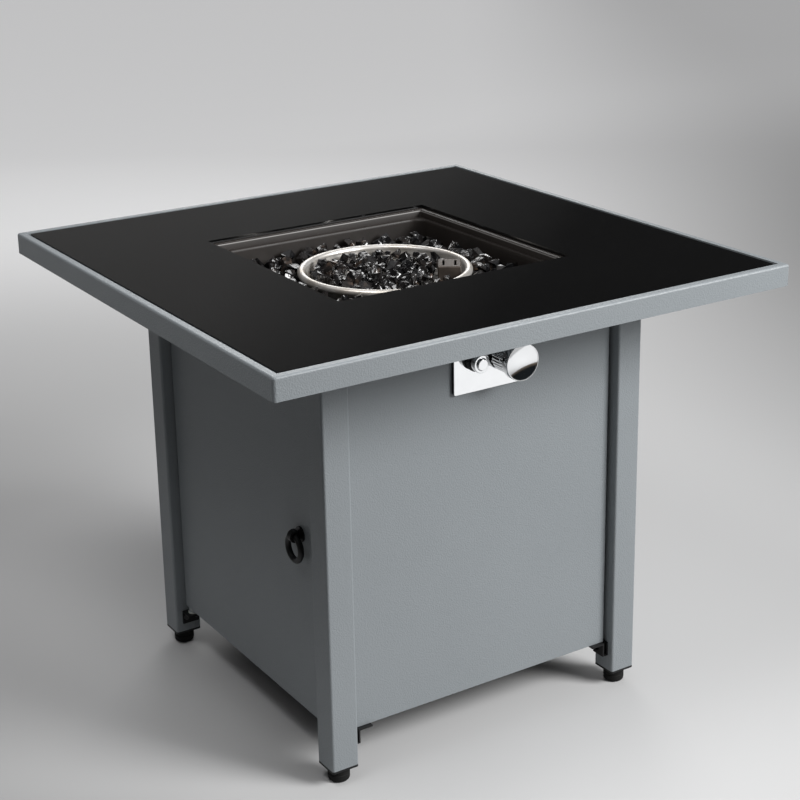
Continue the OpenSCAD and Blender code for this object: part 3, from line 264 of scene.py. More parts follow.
# Leg plugs: black moulded plastic caps that close the lower ends of the tubes. Each is a push fit, with a
# flange as wide as the tube that shows as a thin black line above the foot.
def dress(finish, *nodes):
    """Gives CAD nodes that keep their shape a finish of this scene."""
    for node in nodes:
        for slot in frame["nodes"][node].material_slots:
            slot.material = finish


black_plastic, shader, at = new_finish("black_moulded_plastic", {"Specular IOR Level": 0.3})
cloud = noise(at, 90, 4)
cloud.tint((0.005, 0.005, 0.0055), (0.010, 0.010, 0.0105)).into(shader, "Base Color")
(0.40 + cloud * 0.2).into(shader, "Roughness")
roughened(at, noise(at, 2200, 2), 0.00006, 0.5).into(shader, "Normal")
dress(black_plastic, "leg_plugs")


# Legs: four square steel tubes with rolled corners, welded to the rails at the top. All the grey steel has
# one coat, a powder paint that dries to a fine hammered grain with a low satin sheen.
coat, shader, at = new_finish("grey_powder_coat", {"Specular IOR Level": 0.42})
grain = at.node("TexVoronoi", {"feature": "SMOOTH_F1"}, {"Vector": at, "Scale": 560.0, "Smoothness": 0.5})
fine = noise(at, 1150, 3)
patch = noise(at, 7, 3)
shade = patch * 0.5 + fine * 0.5
shade.tint((0.196, 0.214, 0.226), (0.238, 0.258, 0.270)).into(shader, "Base Color")
(0.33 + fine * 0.12 + grain * 0.10).into(shader, "Roughness")
roughened(at, grain + fine * 0.5, 0.0005, 0.55).into(shader, "Normal")
dress(coat, "leg_front_left", "leg_front_right", "leg_rear_left", "leg_rear_right")


# Upper rails: square black tubes between the legs, hidden behind the panels. They carry the top's studs
# and the panels' upper screws.
black_coat, shader, at = new_finish("black_powder_coat", {"Specular IOR Level": 0.3})
grain = at.node("TexVoronoi", {"feature": "SMOOTH_F1"}, {"Vector": at, "Scale": 700.0, "Smoothness": 0.5})
cloud = noise(at, 14, 4)
cloud.tint((0.004, 0.004, 0.0045), (0.009, 0.009, 0.0095)).into(shader, "Base Color")
(0.34 + cloud * 0.2).into(shader, "Roughness")
roughened(at, grain, 0.00022, 0.6).into(shader, "Normal")
dress(black_coat, "rail_front", "rail_right", "rail_rear", "rail_left")


# Fixed panels: steel sheets with their side and bottom edges folded in, so each fold is a small round bend.
# Each is screwed to its rail at the top and to two small brackets at the bottom.
def softened(name, node, radius, steps, pick):
    """A copy of a CAD node's mesh with the picked edges rounded."""
    shell = bmesh.new()
    shell.from_mesh(frame["nodes"][node].data)
    bmesh.ops.remove_doubles(shell, verts=shell.verts, dist=2e-6)
    bmesh.ops.dissolve_limit(shell, angle_limit=math.radians(0.5), verts=shell.verts, edges=shell.edges)
    fold_angle = math.radians(50)
    sharp = [e for e in shell.edges if len(e.link_faces) == 2 and e.is_convex
             and e.calc_face_angle() > fold_angle and pick(e)]
    for face in shell.faces:
        face.smooth = False
    made = bmesh.ops.bevel(shell, geom=sharp, offset=radius, segments=steps, profile=0.5, affect="EDGES",
                           clamp_overlap=True)
    for face in made["faces"]:
        face.smooth = True
    mesh = bpy.data.meshes.new(name)
    shell.to_mesh(mesh)
    shell.free()
    return mesh


def fold_line(edge):
    """True for a long edge between two faces that are both wider than the sheet is thick."""
    least_length, least_width = 0.02, 0.004
    length = edge.calc_length()
    return length > least_length and all(face.calc_area() / length > least_width for face in edge.link_faces)


def coated_sheet(name, node, body, finish, bend):
    """A sheet-metal piece with a small round bend at each fold."""
    mesh = softened(name, node, bend, 4, fold_line)
    mesh.materials.append(finish)
    as_piece(name, mesh, node, body)


panel_bend = 0.0016
for side in ("front", "right", "rear"):
    coated_sheet(side + "_panel_sheet", side + "_panel", "cabinet", coat, panel_bend)


# Base shelf: a black sheet across the bottom of the cabinet, with a collared hole for the gas cylinder's
# foot ring and a lip along the door. It lies on the panels' lower flanges.
dress(black_coat, "base_shelf")


# Panel brackets, bolts, nuts and screws: small black angles bolted to the legs under each panel's ends. The
# bolts are blackened, with chamfered hexagon heads. The nuts and screws are zinc-plated, and the screws have
# low round heads with a hexagon socket.
zinc, shader, at = new_finish("zinc_plate", {"Metallic": 1.0})
cloud = noise(at, 240, 5)
cloud.tint((0.34, 0.35, 0.36), (0.52, 0.53, 0.53)).into(shader, "Base Color")
(0.28 + cloud * 0.22).into(shader, "Roughness")
roughened(at, noise(at, 3200, 2), 0.00003, 0.5).into(shader, "Normal")
dress(black_coat, "panel_brackets")


def hexed(flat_rings):
    """Gives some rings of a turned mesh the outline of a hexagon."""
    half_side = math.pi / 6

    def shape(index, angle, radius):
        if index not in flat_rings:
            return radius
        return radius * math.cos(half_side) / math.cos((angle + half_side) % (math.pi / 3) - half_side)
    return shape


def quarter(point, turns):
    """A point turned about z by quarter turns."""
    for _ in range(turns):
        point = (-point[1], point[0], point[2])
    return point


blackened, shader, at = new_finish("blackened_bolt", {"Metallic": 1.0})
cloud = noise(at, 300, 4)
cloud.tint((0.045, 0.045, 0.047), (0.105, 0.105, 0.108)).into(shader, "Base Color")
(0.30 + cloud * 0.2).into(shader, "Roughness")
bolt_r, bolt_shank_r, bolt_end, bolt_top = 0.0046, 0.0025, 0.010, -0.0035
bolt = turned("hex_bolt", [
    (0, bolt_top), (0.0037, bolt_top), (bolt_r, -0.0029), (bolt_r, -0.0002), (bolt_r, 0), (bolt_shank_r, 0),
    (bolt_shank_r, bolt_end), (0, bolt_end)], 48, hexed((2, 3, 4)))
right_angle = math.pi / 2
fixed_sides = (0, 1, 2)
bracket_line, bolt_x, bolt_z = -0.2085, 0.1928, 0.0537
bolt_places = [(quarter((x * bolt_x, bracket_line, bolt_z), k), (0, x * right_angle, k * right_angle))
               for k in fixed_sides for x in (-1, 1)]
pivot_bolt_z = 0.0447
bolt_places += [((x, bolt_x, pivot_bolt_z), (-right_angle, 0, 0)) for x in (-0.217, -0.203)]
as_piece("leg_bolts", repeated("leg_bolts", bolt, bolt_places, blackened), "bracket_bolts", "cabinet")

nut_bore, nut_r, nut_h = 0.0031, 0.00575, 0.005
nut = turned("stud_nut", [
    (nut_bore, 0), (0.0052, 0), (nut_r, 0.0006), (nut_r, 0.0044), (0.0052, nut_h), (nut_bore, nut_h),
    (nut_bore, 0)], 48, hexed((2, 3)))
rail_line, rail_foot_z = -0.206, 0.5443
nut_places = [(quarter((x, rail_line, rail_foot_z), k), unturned)
              for k in fixed_sides for x in (-0.12, 0.12)]
as_piece("stud_nuts", repeated("stud_nuts", nut, nut_places, zinc), "top_nuts", "cabinet")

head_r, shank_r, shank_end = 0.00375, 0.002, 0.0021
screw = turned("pan_screw", [
    (0, -0.0011), (0.0013, -0.0011), (0.0015, -0.0023), (0.0021, -0.0024), (0.0030, -0.0021),
    (0.0036, -0.0013), (head_r, -0.0004), (head_r, 0), (shank_r, 0), (shank_r, shank_end), (0, shank_end)],
    48, hexed((1, 2)))
panel_back, panel_screw_z = -0.217, 0.5618
screw_places = [(quarter((x, panel_back, panel_screw_z), k), (-right_angle, 0, k * right_angle))
                for k in fixed_sides for x in (-0.15, 0, 0.15)]
tab_x, tab_z = 0.1768, 0.0598
screw_places += [(quarter((x * tab_x, bracket_line, tab_z), k), unturned)
                 for k in fixed_sides for x in (-1, 1)]
collar_line, collar_z = -0.1612, 0.5695
screw_places += [(quarter((x, collar_line, collar_z), k), (-right_angle, 0, k * right_angle))
                 for k in (0, 1, 2, 3) for x in (-0.08, 0.08)]
knob_x, plate_line = 0.0254, -0.222
screw_places += [((knob_x, plate_line, z), (-right_angle, 0, 0)) for z in (0.48375, 0.50825)]
catch_x, catch_z = -0.2007, 0.5353
screw_places += [((catch_x, y, catch_z), unturned) for y in (-0.178, -0.158)]
as_piece("sheet_screws", repeated("sheet_screws", screw, screw_places, zinc), "pan_screws", "cabinet")


# Door: a folded steel sheet on the left side, hung on two steel pins near its rear edge. The pins turn in
# nylon bushes, one in the rail and one in a small bracket, and a magnet catch holds the front edge.
coated_sheet("door_sheet", "door_panel", "door", coat, panel_bend)
nylon, shader, at = new_finish("bush_nylon", {"Subsurface Weight": 0.1})
cloud = noise(at, 120, 3)
cloud.tint((0.60, 0.59, 0.54), (0.72, 0.71, 0.66)).into(shader, "Base Color")
(0.38 + cloud * 0.15).into(shader, "Roughness")
dress(nylon, "pivot_bushes")
dress(zinc, "door_pins", "ring_nut")
dress(black_coat, "pivot_bracket")
dress(black_plastic, "magnet_catch")


# Ring pull: a black round bar bent to a ring, hanging in a cast eye whose stem passes through the door and
# is held by a nut behind it.
satin_black, shader, at = new_finish("satin_black_casting", {"Specular IOR Level": 0.32})
cloud = noise(at, 120, 4)
cloud.tint((0.003, 0.003, 0.0035), (0.008, 0.008, 0.008)).into(shader, "Base Color")
(0.30 + cloud * 0.22).into(shader, "Roughness")
roughened(at, noise(at, 900, 3), 0.00015, 0.5).into(shader, "Normal")
dress(satin_black, "ring_eye", "ring_pull")


# Table top: one folded sheet with a skirt, a narrow lip round the glass and a sunk deck. Its edges are
# rolled, and it has the same grey coat as the legs.
lip_bend = 0.0012
coated_sheet("top_sheet", "top_frame", "cabinet", coat, lip_bend)


# Glass: one square pane of black glass with ground edges and a square cut-out. It is laid on soft pads, so
# that it lies just below the lip with a dark gap round it.
black_glass, shader, at = new_finish("black_glass", {"Specular IOR Level": 0.5, "IOR": 1.5})
smear = noise(at, 5.5, 5)
specks = noise(at, 420, 2)
smear.tint((0.016, 0.016, 0.0165), (0.024, 0.024, 0.024)).into(shader, "Base Color")
(0.035 + smear * 0.05 + specks * 0.02).into(shader, "Roughness")


def level_edge(edge):
    """True for a long edge that lies level, so the pane's upright corners stay as they are."""
    return edge.calc_length() > 0.01 and abs(edge.verts[0].co.z - edge.verts[1].co.z) < 1e-6


ground_edge = 0.0008
pane = softened("glass_pane", "glass_top", ground_edge, 2, level_edge)
glass_half, outer_band, gap_more = 0.3435, 0.004, 0.0018
for corner in pane.vertices:
    for axis in (0, 1):
        if abs(corner.co[axis]) > glass_half - outer_band:
            corner.co[axis] -= math.copysign(gap_more, corner.co[axis])
pane.materials.append(black_glass)
glass = as_piece("glass_pane", pane, "glass_top", "cabinet")
clear_pad, shader, at = new_finish("clear_pad", {})
cloud = noise(at, 200, 2)
cloud.tint((0.50, 0.50, 0.48), (0.62, 0.62, 0.60)).into(shader, "Base Color")
(0.45 + cloud * 0.2).into(shader, "Roughness")
dress(clear_pad, "glass_pads")


# Fire bowl: a square pan pressed from sheet steel, with a flange on the deck, an upright collar, a step and
# a deeper wall with round corners. It is painted black-brown, mottled and darker towards the floor, with a
# painted highlight along the collar's upper bend.
bowl_finish, shader, at = new_finish("bowl_paint", {"Specular IOR Level": 0.3})
height = at.node("SeparateXYZ", None, {0: at}, out="Z")
# Darker towards the floor: the colour falls off with height, mixed with a cloudy mottle.
low = height.node("MapRange", {"clamp": True}, {"Value": height, "From Min": 0.530, "From Max": 0.572})
soot = noise(at, 26, 6)
mottle_and_depth_tone = soot * 0.6 + low * 0.4
# Painted highlight: a pale band painted along the collar's upper bend, where light catches it.
highlight_z = 0.5754
bend = height.math("ABSOLUTE", height - highlight_z)
highlight_band = bend.node("MapRange", {"clamp": True}, {"Value": bend, "From Min": 0.0009, "From Max": 0.0002})
painted_highlight = highlight_band.tint((0, 0, 0), (0.20, 0.195, 0.19))
paint = mottle_and_depth_tone.tint((0.005, 0.0045, 0.0042), (0.026, 0.021, 0.018))
paint.node("Mix", {"data_type": "RGBA", "blend_type": "ADD"}, {0: 1.0, 6: paint, 7: painted_highlight}, out=2).into(
    shader, "Base Color")
(0.34 + soot * 0.25).into(shader, "Roughness")
roughened(at, noise(at, 600, 4), 0.0002, 0.4).into(shader, "Normal")


def square_loop(shell, half, radius, z, steps=8):
    """Points round a square with round corners."""
    points = []
    for k in range(4):
        cx, cy, _ = quarter((half - radius, half - radius, 0), k)
        for step in range(steps + 1):
            angle = math.pi / 2 * (k + step / steps)
            points.append(shell.verts.new((cx + radius * math.cos(angle), cy + radius * math.sin(angle), z)))
    return points


def lofted(name, sections):
    """A sheet through several square loops (half width, corner radius, height), closed at the last."""
    shell = bmesh.new()
    loops = [square_loop(shell, *section) for section in sections]
    for low, high in zip(loops, loops[1:]):
        count = len(low)
        for step in range(count):
            nxt = (step + 1) % count
            shell.faces.new((low[step], low[nxt], high[nxt], high[step]))
    shell.faces.new(loops[-1])
    bmesh.ops.recalc_face_normals(shell, faces=shell.faces)
    return smoothed(name, shell, 50)


flange_z, bowl_half, bowl_corner, floor_bend_z, floor_bend = 0.5764, 0.1546, 0.020, 0.5320, 0.009
collar_half, collar_corner = 0.1590, 0.003
sections = [
    (0.1760, 0.004, flange_z), (0.1605, collar_corner, flange_z), (0.1594, collar_corner, 0.5760),
    (collar_half, collar_corner, 0.5750), (collar_half, collar_corner, 0.5674),
    (0.1586, collar_corner, 0.5666), (0.1570, 0.012, 0.5664), (0.1558, bowl_corner, 0.5661),
    (0.1551, bowl_corner, 0.5650), (0.1549, bowl_corner, 0.5630), (bowl_half, bowl_corner, floor_bend_z)]
bend_steps, corner_less = 6, 0.006
for step in range(1, bend_steps + 1):
    angle = math.pi / 2 * step / bend_steps
    inwards = 1 - math.cos(angle)
    sections.append((bowl_half - floor_bend * inwards, bowl_corner - corner_less * inwards,
                     floor_bend_z - floor_bend * math.sin(angle)))
pan = lofted("bowl_pan", sections)
pan.materials.append(bowl_finish)
bowl = as_piece("bowl_pan", pan, "fire_bowl", "cabinet")
bowl_sheet = 0.0009
wall = bowl.modifiers.new("sheet", "SOLIDIFY")
wall.thickness = bowl_sheet
wall.offset = 1.0


# Burner: a round stainless dish with a rolled rim and a perforated plate inside, coloured straw to brown by
# the heat. It stands on the bowl's floor and is held by the feed elbow's nut.
burner_steel, shader, at = new_finish("burner_steel", {"Metallic": 0.72})
flat = at.node("VectorMath", {"operation": "MULTIPLY"}, {0: at, 1: (1, 1, 0)})
reach = flat.node("VectorMath", {"operation": "LENGTH"}, {0: flat}, out="Value")
brush = noise(at.node("CombineXYZ", None, {"X": reach * 900, "Y": noise(at, 8, 2) * 3, "Z": 0.0}), 1.0, 2)
tint = noise(at, 34, 5)
heat = tint * 0.65 + brush * 0.35
heat.node("ValToRGB", {"stops": [
    (0.30, (0.42, 0.37, 0.31, 1)), (0.50, (0.60, 0.57, 0.53, 1)), (0.68, (0.72, 0.71, 0.69, 1))]},
    {0: heat}).into(shader, "Base Color")
(0.26 + brush * 0.16 + tint * 0.12).into(shader, "Roughness")
roughened(at, brush, 0.00008, 0.35).into(shader, "Normal")
rim_r, rim_z, rim_bar = 0.107, 0.553, 0.005
roll_start, roll_step, roll_points = 200, 14, 24
rim_points = [(rim_r + rim_bar * math.cos(a), rim_z + rim_bar * math.sin(a))
              for a in (math.radians(roll_start - roll_step * k) for k in range(roll_points))]
feed_r, low_r, wall_r, dish_sheet = 0.0083, 0.0980, 0.1030, 0.001
dish_floor, dish_step = 0.522, 0.533
dish = turned("burner_bowl", [
    (feed_r, dish_floor), (low_r, dish_floor), (low_r, dish_step), (wall_r, dish_step), (wall_r, 0.5495),
    *reversed(rim_points), (0.1021, 0.5505), (wall_r - dish_sheet, dish_step + dish_sheet),
    (low_r - dish_sheet, dish_step + dish_sheet), (low_r - dish_sheet, dish_floor + dish_sheet),
    (feed_r, dish_floor + dish_sheet), (feed_r, dish_floor)], 128)
dish.materials.append(burner_steel)
as_piece("burner_bowl", dish, "burner_dish", "cabinet")
dress(burner_steel, "burner_plate")


# Spark shield: a small folded cover over the electrode and the thermocouple, open below and with two slots
# in its top. The steel is left bare and has gone dark brown.
scorched, shader, at = new_finish("scorched_steel", {"Metallic": 0.55})
soot = noise(at, 110, 5)
soot.tint((0.022, 0.018, 0.015), (0.105, 0.083, 0.068)).into(shader, "Base Color")
(0.42 + soot * 0.3).into(shader, "Roughness")
roughened(at, noise(at, 900, 3), 0.00012, 0.5).into(shader, "Normal")
cover_bend = 0.0018
coated_sheet("spark_cover", "spark_shield", "cabinet", scorched, cover_bend)
glaze, shader, at = new_finish("electrode_glaze", {"Coat Weight": 0.4})
cloud = noise(at, 150, 3)
cloud.tint((0.62, 0.60, 0.54), (0.82, 0.80, 0.74)).into(shader, "Base Color")
(0.2 + cloud * 0.2).into(shader, "Roughness")
dress(glaze, "electrode")


# Gas feed: a brass elbow and nut under the bowl, a steel mixing tube with air holes, a brass jet and a steel
# pipe bent from the valve's outlet, with brass nuts at both ends.
brass, shader, at = new_finish("turned_brass", {"Metallic": 1.0})
cloud = noise(at, 130, 5)
cloud.tint((0.42, 0.28, 0.10), (0.66, 0.49, 0.21)).into(shader, "Base Color")
(0.22 + cloud * 0.25).into(shader, "Roughness")
roughened(at, noise(at, 2600, 2), 0.00004, 0.4).into(shader, "Normal")
dress(brass, "burner_elbow", "burner_nut", "gas_jet", "pipe_nuts", "valve_cap", "valve_plunger")
dress(zinc, "air_mixer", "gas_pipe")


# Leads: a black silicone wire from the igniter to the electrode, and the thermocouple with its drawn copper
# tube to the valve. Both run below the bowl, out of sight.
copper, shader, at = new_finish("drawn_copper", {"Metallic": 1.0})
cloud = noise(at, 160, 5)
cloud.tint((0.40, 0.19, 0.10), (0.66, 0.34, 0.20)).into(shader, "Base Color")
(0.25 + cloud * 0.25).into(shader, "Roughness")
dress(copper, "thermocouple", "thermocouple_lead")
silicone, shader, at = new_finish("lead_silicone", {})
cloud = noise(at, 300, 3)
cloud.tint((0.012, 0.012, 0.012), (0.024, 0.024, 0.024)).into(shader, "Base Color")
(0.5 + cloud * 0.2).into(shader, "Roughness")
dress(silicone, "ignition_lead")


# Stones: broken lumps of black volcanic glass, heaped round the burner and inside it. They are angular, with
# glossy shell-like breaks that catch small bright lights and brown edges.
obsidian, shader, at = new_finish("black_stone", {"IOR": 1.55})
vein = noise(at, 42, 6)
chip = at.node("TexVoronoi", {"feature": "F1"}, {"Vector": at, "Scale": 150.0, "Randomness": 1.0})
vein.node("ValToRGB", {"stops": [
    (0.42, (0.005, 0.005, 0.0055, 1)), (0.60, (0.014, 0.012, 0.011, 1)), (0.72, (0.075, 0.050, 0.036, 1))]},
    {0: vein}).into(shader, "Base Color")
(0.05 + vein * 0.2).into(shader, "Roughness")
roughened(at, chip * 0.3 + vein * 0.9 + noise(at, 95, 2), 0.0030, 0.6).into(shader, "Normal")
shapes = bpy.data.collections.new("stone_shapes")
bpy.context.scene.collection.children.link(shapes)
stone_kinds, first_seed, points_each = 9, 40, 15
for index in range(stone_kinds):
    dice = random.Random(first_seed + index)
    lump = bmesh.new()
    stretch = (1.0, dice.uniform(0.66, 0.9), dice.uniform(0.55, 0.8))
    for _ in range(points_each):
        point = Vector((dice.gauss(0, 1), dice.gauss(0, 1), dice.gauss(0, 1))).normalized()
        point *= dice.uniform(0.86, 1.0)
        lump.verts.new([a * b for a, b in zip(point, stretch)])
    hull = bmesh.ops.convex_hull(lump, input=lump.verts)
    bmesh.ops.delete(lump, geom=hull["geom_interior"], context="VERTS")
    mesh = bpy.data.meshes.new(f"stone_{index}")
    lump.to_mesh(mesh)
    lump.free()
    shapes.objects.link(bpy.data.objects.new(f"stone_{index}", mesh))

bed_tree, given = new_tree("stone_bed", [
    ("Shapes", "Collection"), ("Spacing", "Float"), ("Least size", "Float"), ("Largest size", "Float"),
    ("Seed", "Int"), ("Finish", "Material")])
spread = link_nodes(bed_tree, "GeometryNodeDistributePointsOnFaces", {
    "Mesh": given["Geometry"], "Distance Min": given["Spacing"], "Density Max": 20000.0,
    "Seed": given["Seed"]}, {"distribute_method": "POISSON"})
kinds = link_nodes(bed_tree, "GeometryNodeCollectionInfo", {
    "Collection": given["Shapes"], "Separate Children": True, "Reset Children": True})
full_turn = 6.283
tumble = link_nodes(bed_tree, "FunctionNodeRandomValue", {
    "Max": (full_turn, full_turn, full_turn), "Seed": given["Seed"]}, {"data_type": "FLOAT_VECTOR"})
turn = link_nodes(bed_tree, "FunctionNodeEulerToRotation", {"Euler": tumble.outputs["Value"]})
size = bed_tree.nodes.new("FunctionNodeRandomValue")
bed_tree.links.new(given["Least size"], size.inputs[2])
bed_tree.links.new(given["Largest size"], size.inputs[3])
bed_tree.links.new(given["Seed"], size.inputs["Seed"])
heap = link_nodes(bed_tree, "GeometryNodeInstanceOnPoints", {
    "Points": spread.outputs["Points"], "Instance": kinds.outputs["Instances"], "Pick Instance": True,
    "Rotation": turn.outputs["Rotation"], "Scale": size.outputs[1]})
solid = link_nodes(bed_tree, "GeometryNodeRealizeInstances", {"Geometry": heap.outputs["Instances"]})
coated = link_nodes(bed_tree, "GeometryNodeSetMaterial", {
    "Geometry": solid.outputs["Geometry"], "Material": given["Finish"]})
link_nodes(bed_tree, "NodeGroupOutput", {"Geometry": coated.outputs["Geometry"]})


def stone_layer(name, z, room, free, spacing, sizes, seed):
    """One layer of stones over the cells of a fine grid that have that much room round them."""
    cell, farthest = 0.003, 0.16
    reach = int(farthest / cell)
    bed = bmesh.new()
    for i in range(-reach, reach):
        for j in range(-reach, reach):
            x, y = i * cell, j * cell
            if free(x + cell / 2, y + cell / 2) > room:
                bed.faces.new([bed.verts.new((x + a * cell, y + b * cell, z)) for a, b in
                               ((0, 0), (1, 0), (1, 1), (0, 1))])
    bmesh.ops.remove_doubles(bed, verts=bed.verts, dist=1e-5)
    floor = bpy.data.meshes.new(name)
    bed.to_mesh(floor)
    bed.free()
    return run_tree(name, floor, bed_tree, {
        "Shapes": shapes, "Spacing": spacing, "Least size": sizes[0], "Largest size": sizes[1], "Seed": seed,
        "Finish": obsidian})


def joined(name, meshes, finish):
    """Several meshes of one finish as one."""
    heap = bmesh.new()
    for mesh in meshes:
        heap.from_mesh(mesh)
    for face in heap.faces:
        face.material_index = 0
    made = bpy.data.meshes.new(name)
    heap.to_mesh(made)
    heap.free()
    made.materials.append(finish)
    return made


def round_burner(x, y):
    """Room at a point between the bowl's wall, with its round corners, and the burner's rim."""
    wall = bowl_half - max(abs(x), abs(y))
    corner = bowl_half - bowl_corner
    if abs(x) > corner and abs(y) > corner:
        wall = bowl_corner - math.hypot(abs(x) - corner, abs(y) - corner)
    return min(wall, math.hypot(x, y) - (rim_r + rim_bar))


cover_x, cover_y, cover_turn = 0.06798, -0.04585, math.radians(-34)
cover_half_long, cover_half_wide = 0.015, 0.019


def in_burner(x, y):
    """Room at a point inside the burner, beside the spark shield."""
    dx, dy = x - cover_x, y - cover_y
    cos, sin = math.cos(cover_turn), math.sin(cover_turn)
    u = abs(dx * cos + dy * sin) - cover_half_long
    v = abs(dy * cos - dx * sin) - cover_half_wide
    cover = math.hypot(max(u, 0), max(v, 0)) if max(u, v) > 0 else -1
    return min(rim_r - rim_bar - math.hypot(x, y), cover)


# Each layer: height, room round a stone's middle, where it may lie, spacing, least and largest half width.
outer = [
    stone_layer("bowl_low", 0.5320, 0.0085, round_burner, 0.0135, (0.0088, 0.0098), seed=3),
    stone_layer("bowl_middle", 0.5405, 0.0120, round_burner, 0.0172, (0.0118, 0.0165), seed=8),
    stone_layer("bowl_high", 0.5490, 0.0105, round_burner, 0.0175, (0.0115, 0.0150), seed=14)]
bowl_heap = joined("bowl_stone_heap", outer, obsidian)
as_piece("bowl_stone_heap", bowl_heap, "bowl_stones", "cabinet")
inner = [
    stone_layer("burner_low", 0.5430, 0.0085, in_burner, 0.0130, (0.0078, 0.0086), seed=5),
    stone_layer("burner_edge", 0.5485, 0.0070, in_burner, 0.0125, (0.0072, 0.0084), seed=9),
    stone_layer("burner_high", 0.5495, 0.0112, in_burner, 0.0190, (0.0110, 0.0155), seed=11)]
burner_heap = joined("burner_stone_heap", inner, obsidian)
as_piece("burner_stone_heap", burner_heap, "burner_stones", "cabinet")
for shape in list(shapes.objects):
    bpy.data.objects.remove(shape)
bpy.data.collections.remove(shapes)


# Control plate: a bright plated sheet on a black box frame, fixed to the front panel by the valve's screws
# and the igniter's nut.
chrome, shader, at = new_finish("bright_plate", {"Metallic": 1.0})
haze = noise(at, 70, 4)
haze.tint((0.72, 0.73, 0.74), (0.80, 0.81, 0.82)).into(shader, "Base Color")
(0.03 + haze * 0.05).into(shader, "Roughness")
roughened(at, noise(at, 30, 2), 0.0001, 0.05).into(shader, "Normal")
control_z = 0.496
plate_x, plate_half_wide, plate_half_high = 0.0037, 0.05, 0.039
near_edge, near_front = 0.002, 5e-5


def front_edge(edge):
    """True for the outer edge of the plate's front face."""
    mid = (edge.verts[0].co + edge.verts[1].co) / 2
    inwards = min(plate_half_wide - abs(mid.x - plate_x), plate_half_high - abs(mid.z - control_z))
    in_front = mid.y < plate_line + near_front and abs(edge.verts[0].co.y - edge.verts[1].co.y) < 1e-6
    return inwards < near_edge and in_front


plate_bend = 0.00035
plate = softened("control_face", "control_plate", plate_bend, 2, front_edge)
plate.materials.append(chrome)
as_piece("control_face", plate, "control_plate", "cabinet")
dress(black_plastic, "control_box")


# Gas valve: a die-cast body behind the panel with a threaded inlet below, a brass cap, and a steel spindle
# that turns on a sprung plunger.
dress(zinc, "valve_body", "valve_spindle")


def wire_spring(name, node):
    """A smoothed zinc copy of a wire spring from its CAD node, in a mesh of its own."""
    coil = bmesh.new()
    coil.from_mesh(frame["nodes"][node].data)
    bmesh.ops.remove_doubles(coil, verts=coil.verts, dist=2e-6)
    mesh = smoothed(name, coil, 50)
    mesh.materials.append(zinc)
    spring = as_piece(name, mesh, node, "cabinet")
    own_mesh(spring)


wire_spring("spindle_spring", "valve_spring")


# Knob: a bright plated cap with a slightly dished mirror face and a fine rim, on a narrower skirt with ridges
# for the fingers. It fits on the flat of the spindle, and pushes in and turns with it.
def facing_front(mesh, x, z):
    """Turns a mesh made on +z to face the front, at the controls' x and z."""
    mesh.transform(Matrix.Translation((x, 0, z)) @ Matrix.Rotation(math.pi / 2, 4, "X"))
    return mesh


dish_r, dish_back, dish_depth, dish_steps = 0.0217, 0.2581, 0.0019, 12
dished = [(dish_r * k / dish_steps, dish_back + dish_depth * (k / dish_steps) ** 2)
          for k in range(dish_steps + 1)]
cap_r, cap_foot = 0.02325, 0.2475
cap = turned("knob_face", [
    *dished, (0.0220, 0.2604), (0.0224, 0.2605), (0.0229, 0.2603), (0.0232, 0.2597), (cap_r, 0.2588),
    (cap_r, 0.2512), (0.0228, 0.2500), (0.0212, 0.2494), (0.0190, 0.2494), (0.0190, cap_foot), (0, cap_foot)],
    128)
cap.materials.append(chrome)
as_piece("knob_face", facing_front(cap, knob_x, control_z), "knob_cap", "knob")


def fluted(rings, count, depth):
    """Cuts a number of soft flutes into some rings of a turned mesh."""
    def shape(index, angle, radius):
        return radius - depth * (0.5 - 0.5 * math.cos(count * angle)) if index in rings else radius
    return shape


skirt_r, hollow_r, hub_r, bore_r = 0.0200, 0.0170, 0.0070, 0.0041
skirt_back, hollow_end = 0.2255, 0.2355
grip = turned("knob_grip", [
    (hollow_r, hollow_end), (hollow_r, skirt_back), (0.0194, skirt_back), (skirt_r, 0.2261),
    (skirt_r, 0.2292), (skirt_r, 0.2472), (0.0196, cap_foot), (bore_r, cap_foot), (bore_r, skirt_back),
    (hub_r, skirt_back), (hub_r, hollow_end), (hollow_r, hollow_end)], 240,
    fluted((4, 5), count=30, depth=0.0008))
grip.materials.append(chrome)
as_piece("knob_grip", facing_front(grip, knob_x, control_z), "knob_skirt", "knob")


# Igniter: a black barrel with a battery behind the panel, held by a ribbed black nut in front, with a bright
# bezel and a sprung push button.
dress(black_plastic, "igniter_body")
button_x, neck_r = -0.0180, 0.0091
collar_back, collar_front, collar_r = 0.2221, 0.2299, 0.0120
collar = turned("igniter_collar", [
    (neck_r, collar_back), (0.0112, collar_back), (collar_r, 0.2228), (collar_r, 0.2291),
    (0.0113, collar_front), (neck_r, collar_front), (neck_r, collar_back)], 216,
    fluted((2, 3), count=36, depth=0.0005))
collar.materials.append(black_plastic)
facing_front(collar, button_x, control_z)
as_piece("igniter_collar", collar, "igniter_nut", "cabinet")
bezel_back, bezel_front, bezel_r, mouth_r = 0.2301, 0.2390, 0.0110, 0.0071
bezel = turned("button_bezel", [
    (neck_r, bezel_back), (0.0108, bezel_back), (bezel_r, 0.2304), (bezel_r, 0.2378), (0.0108, 0.2386),
    (0.0103, bezel_front), (0.0100, bezel_front), (0.0081, bezel_front), (0.0078, bezel_front),
    (0.0073, 0.2387), (mouth_r, 0.2380), (mouth_r, 0.2360), (neck_r, 0.2360), (neck_r, bezel_back)], 96)
bezel.materials.append(chrome)
as_piece("button_bezel", facing_front(bezel, button_x, control_z), "igniter_bezel", "cabinet")
button_front, button_r, stop_r, stop_back = 0.2416, 0.0070, 0.0080, 0.2332
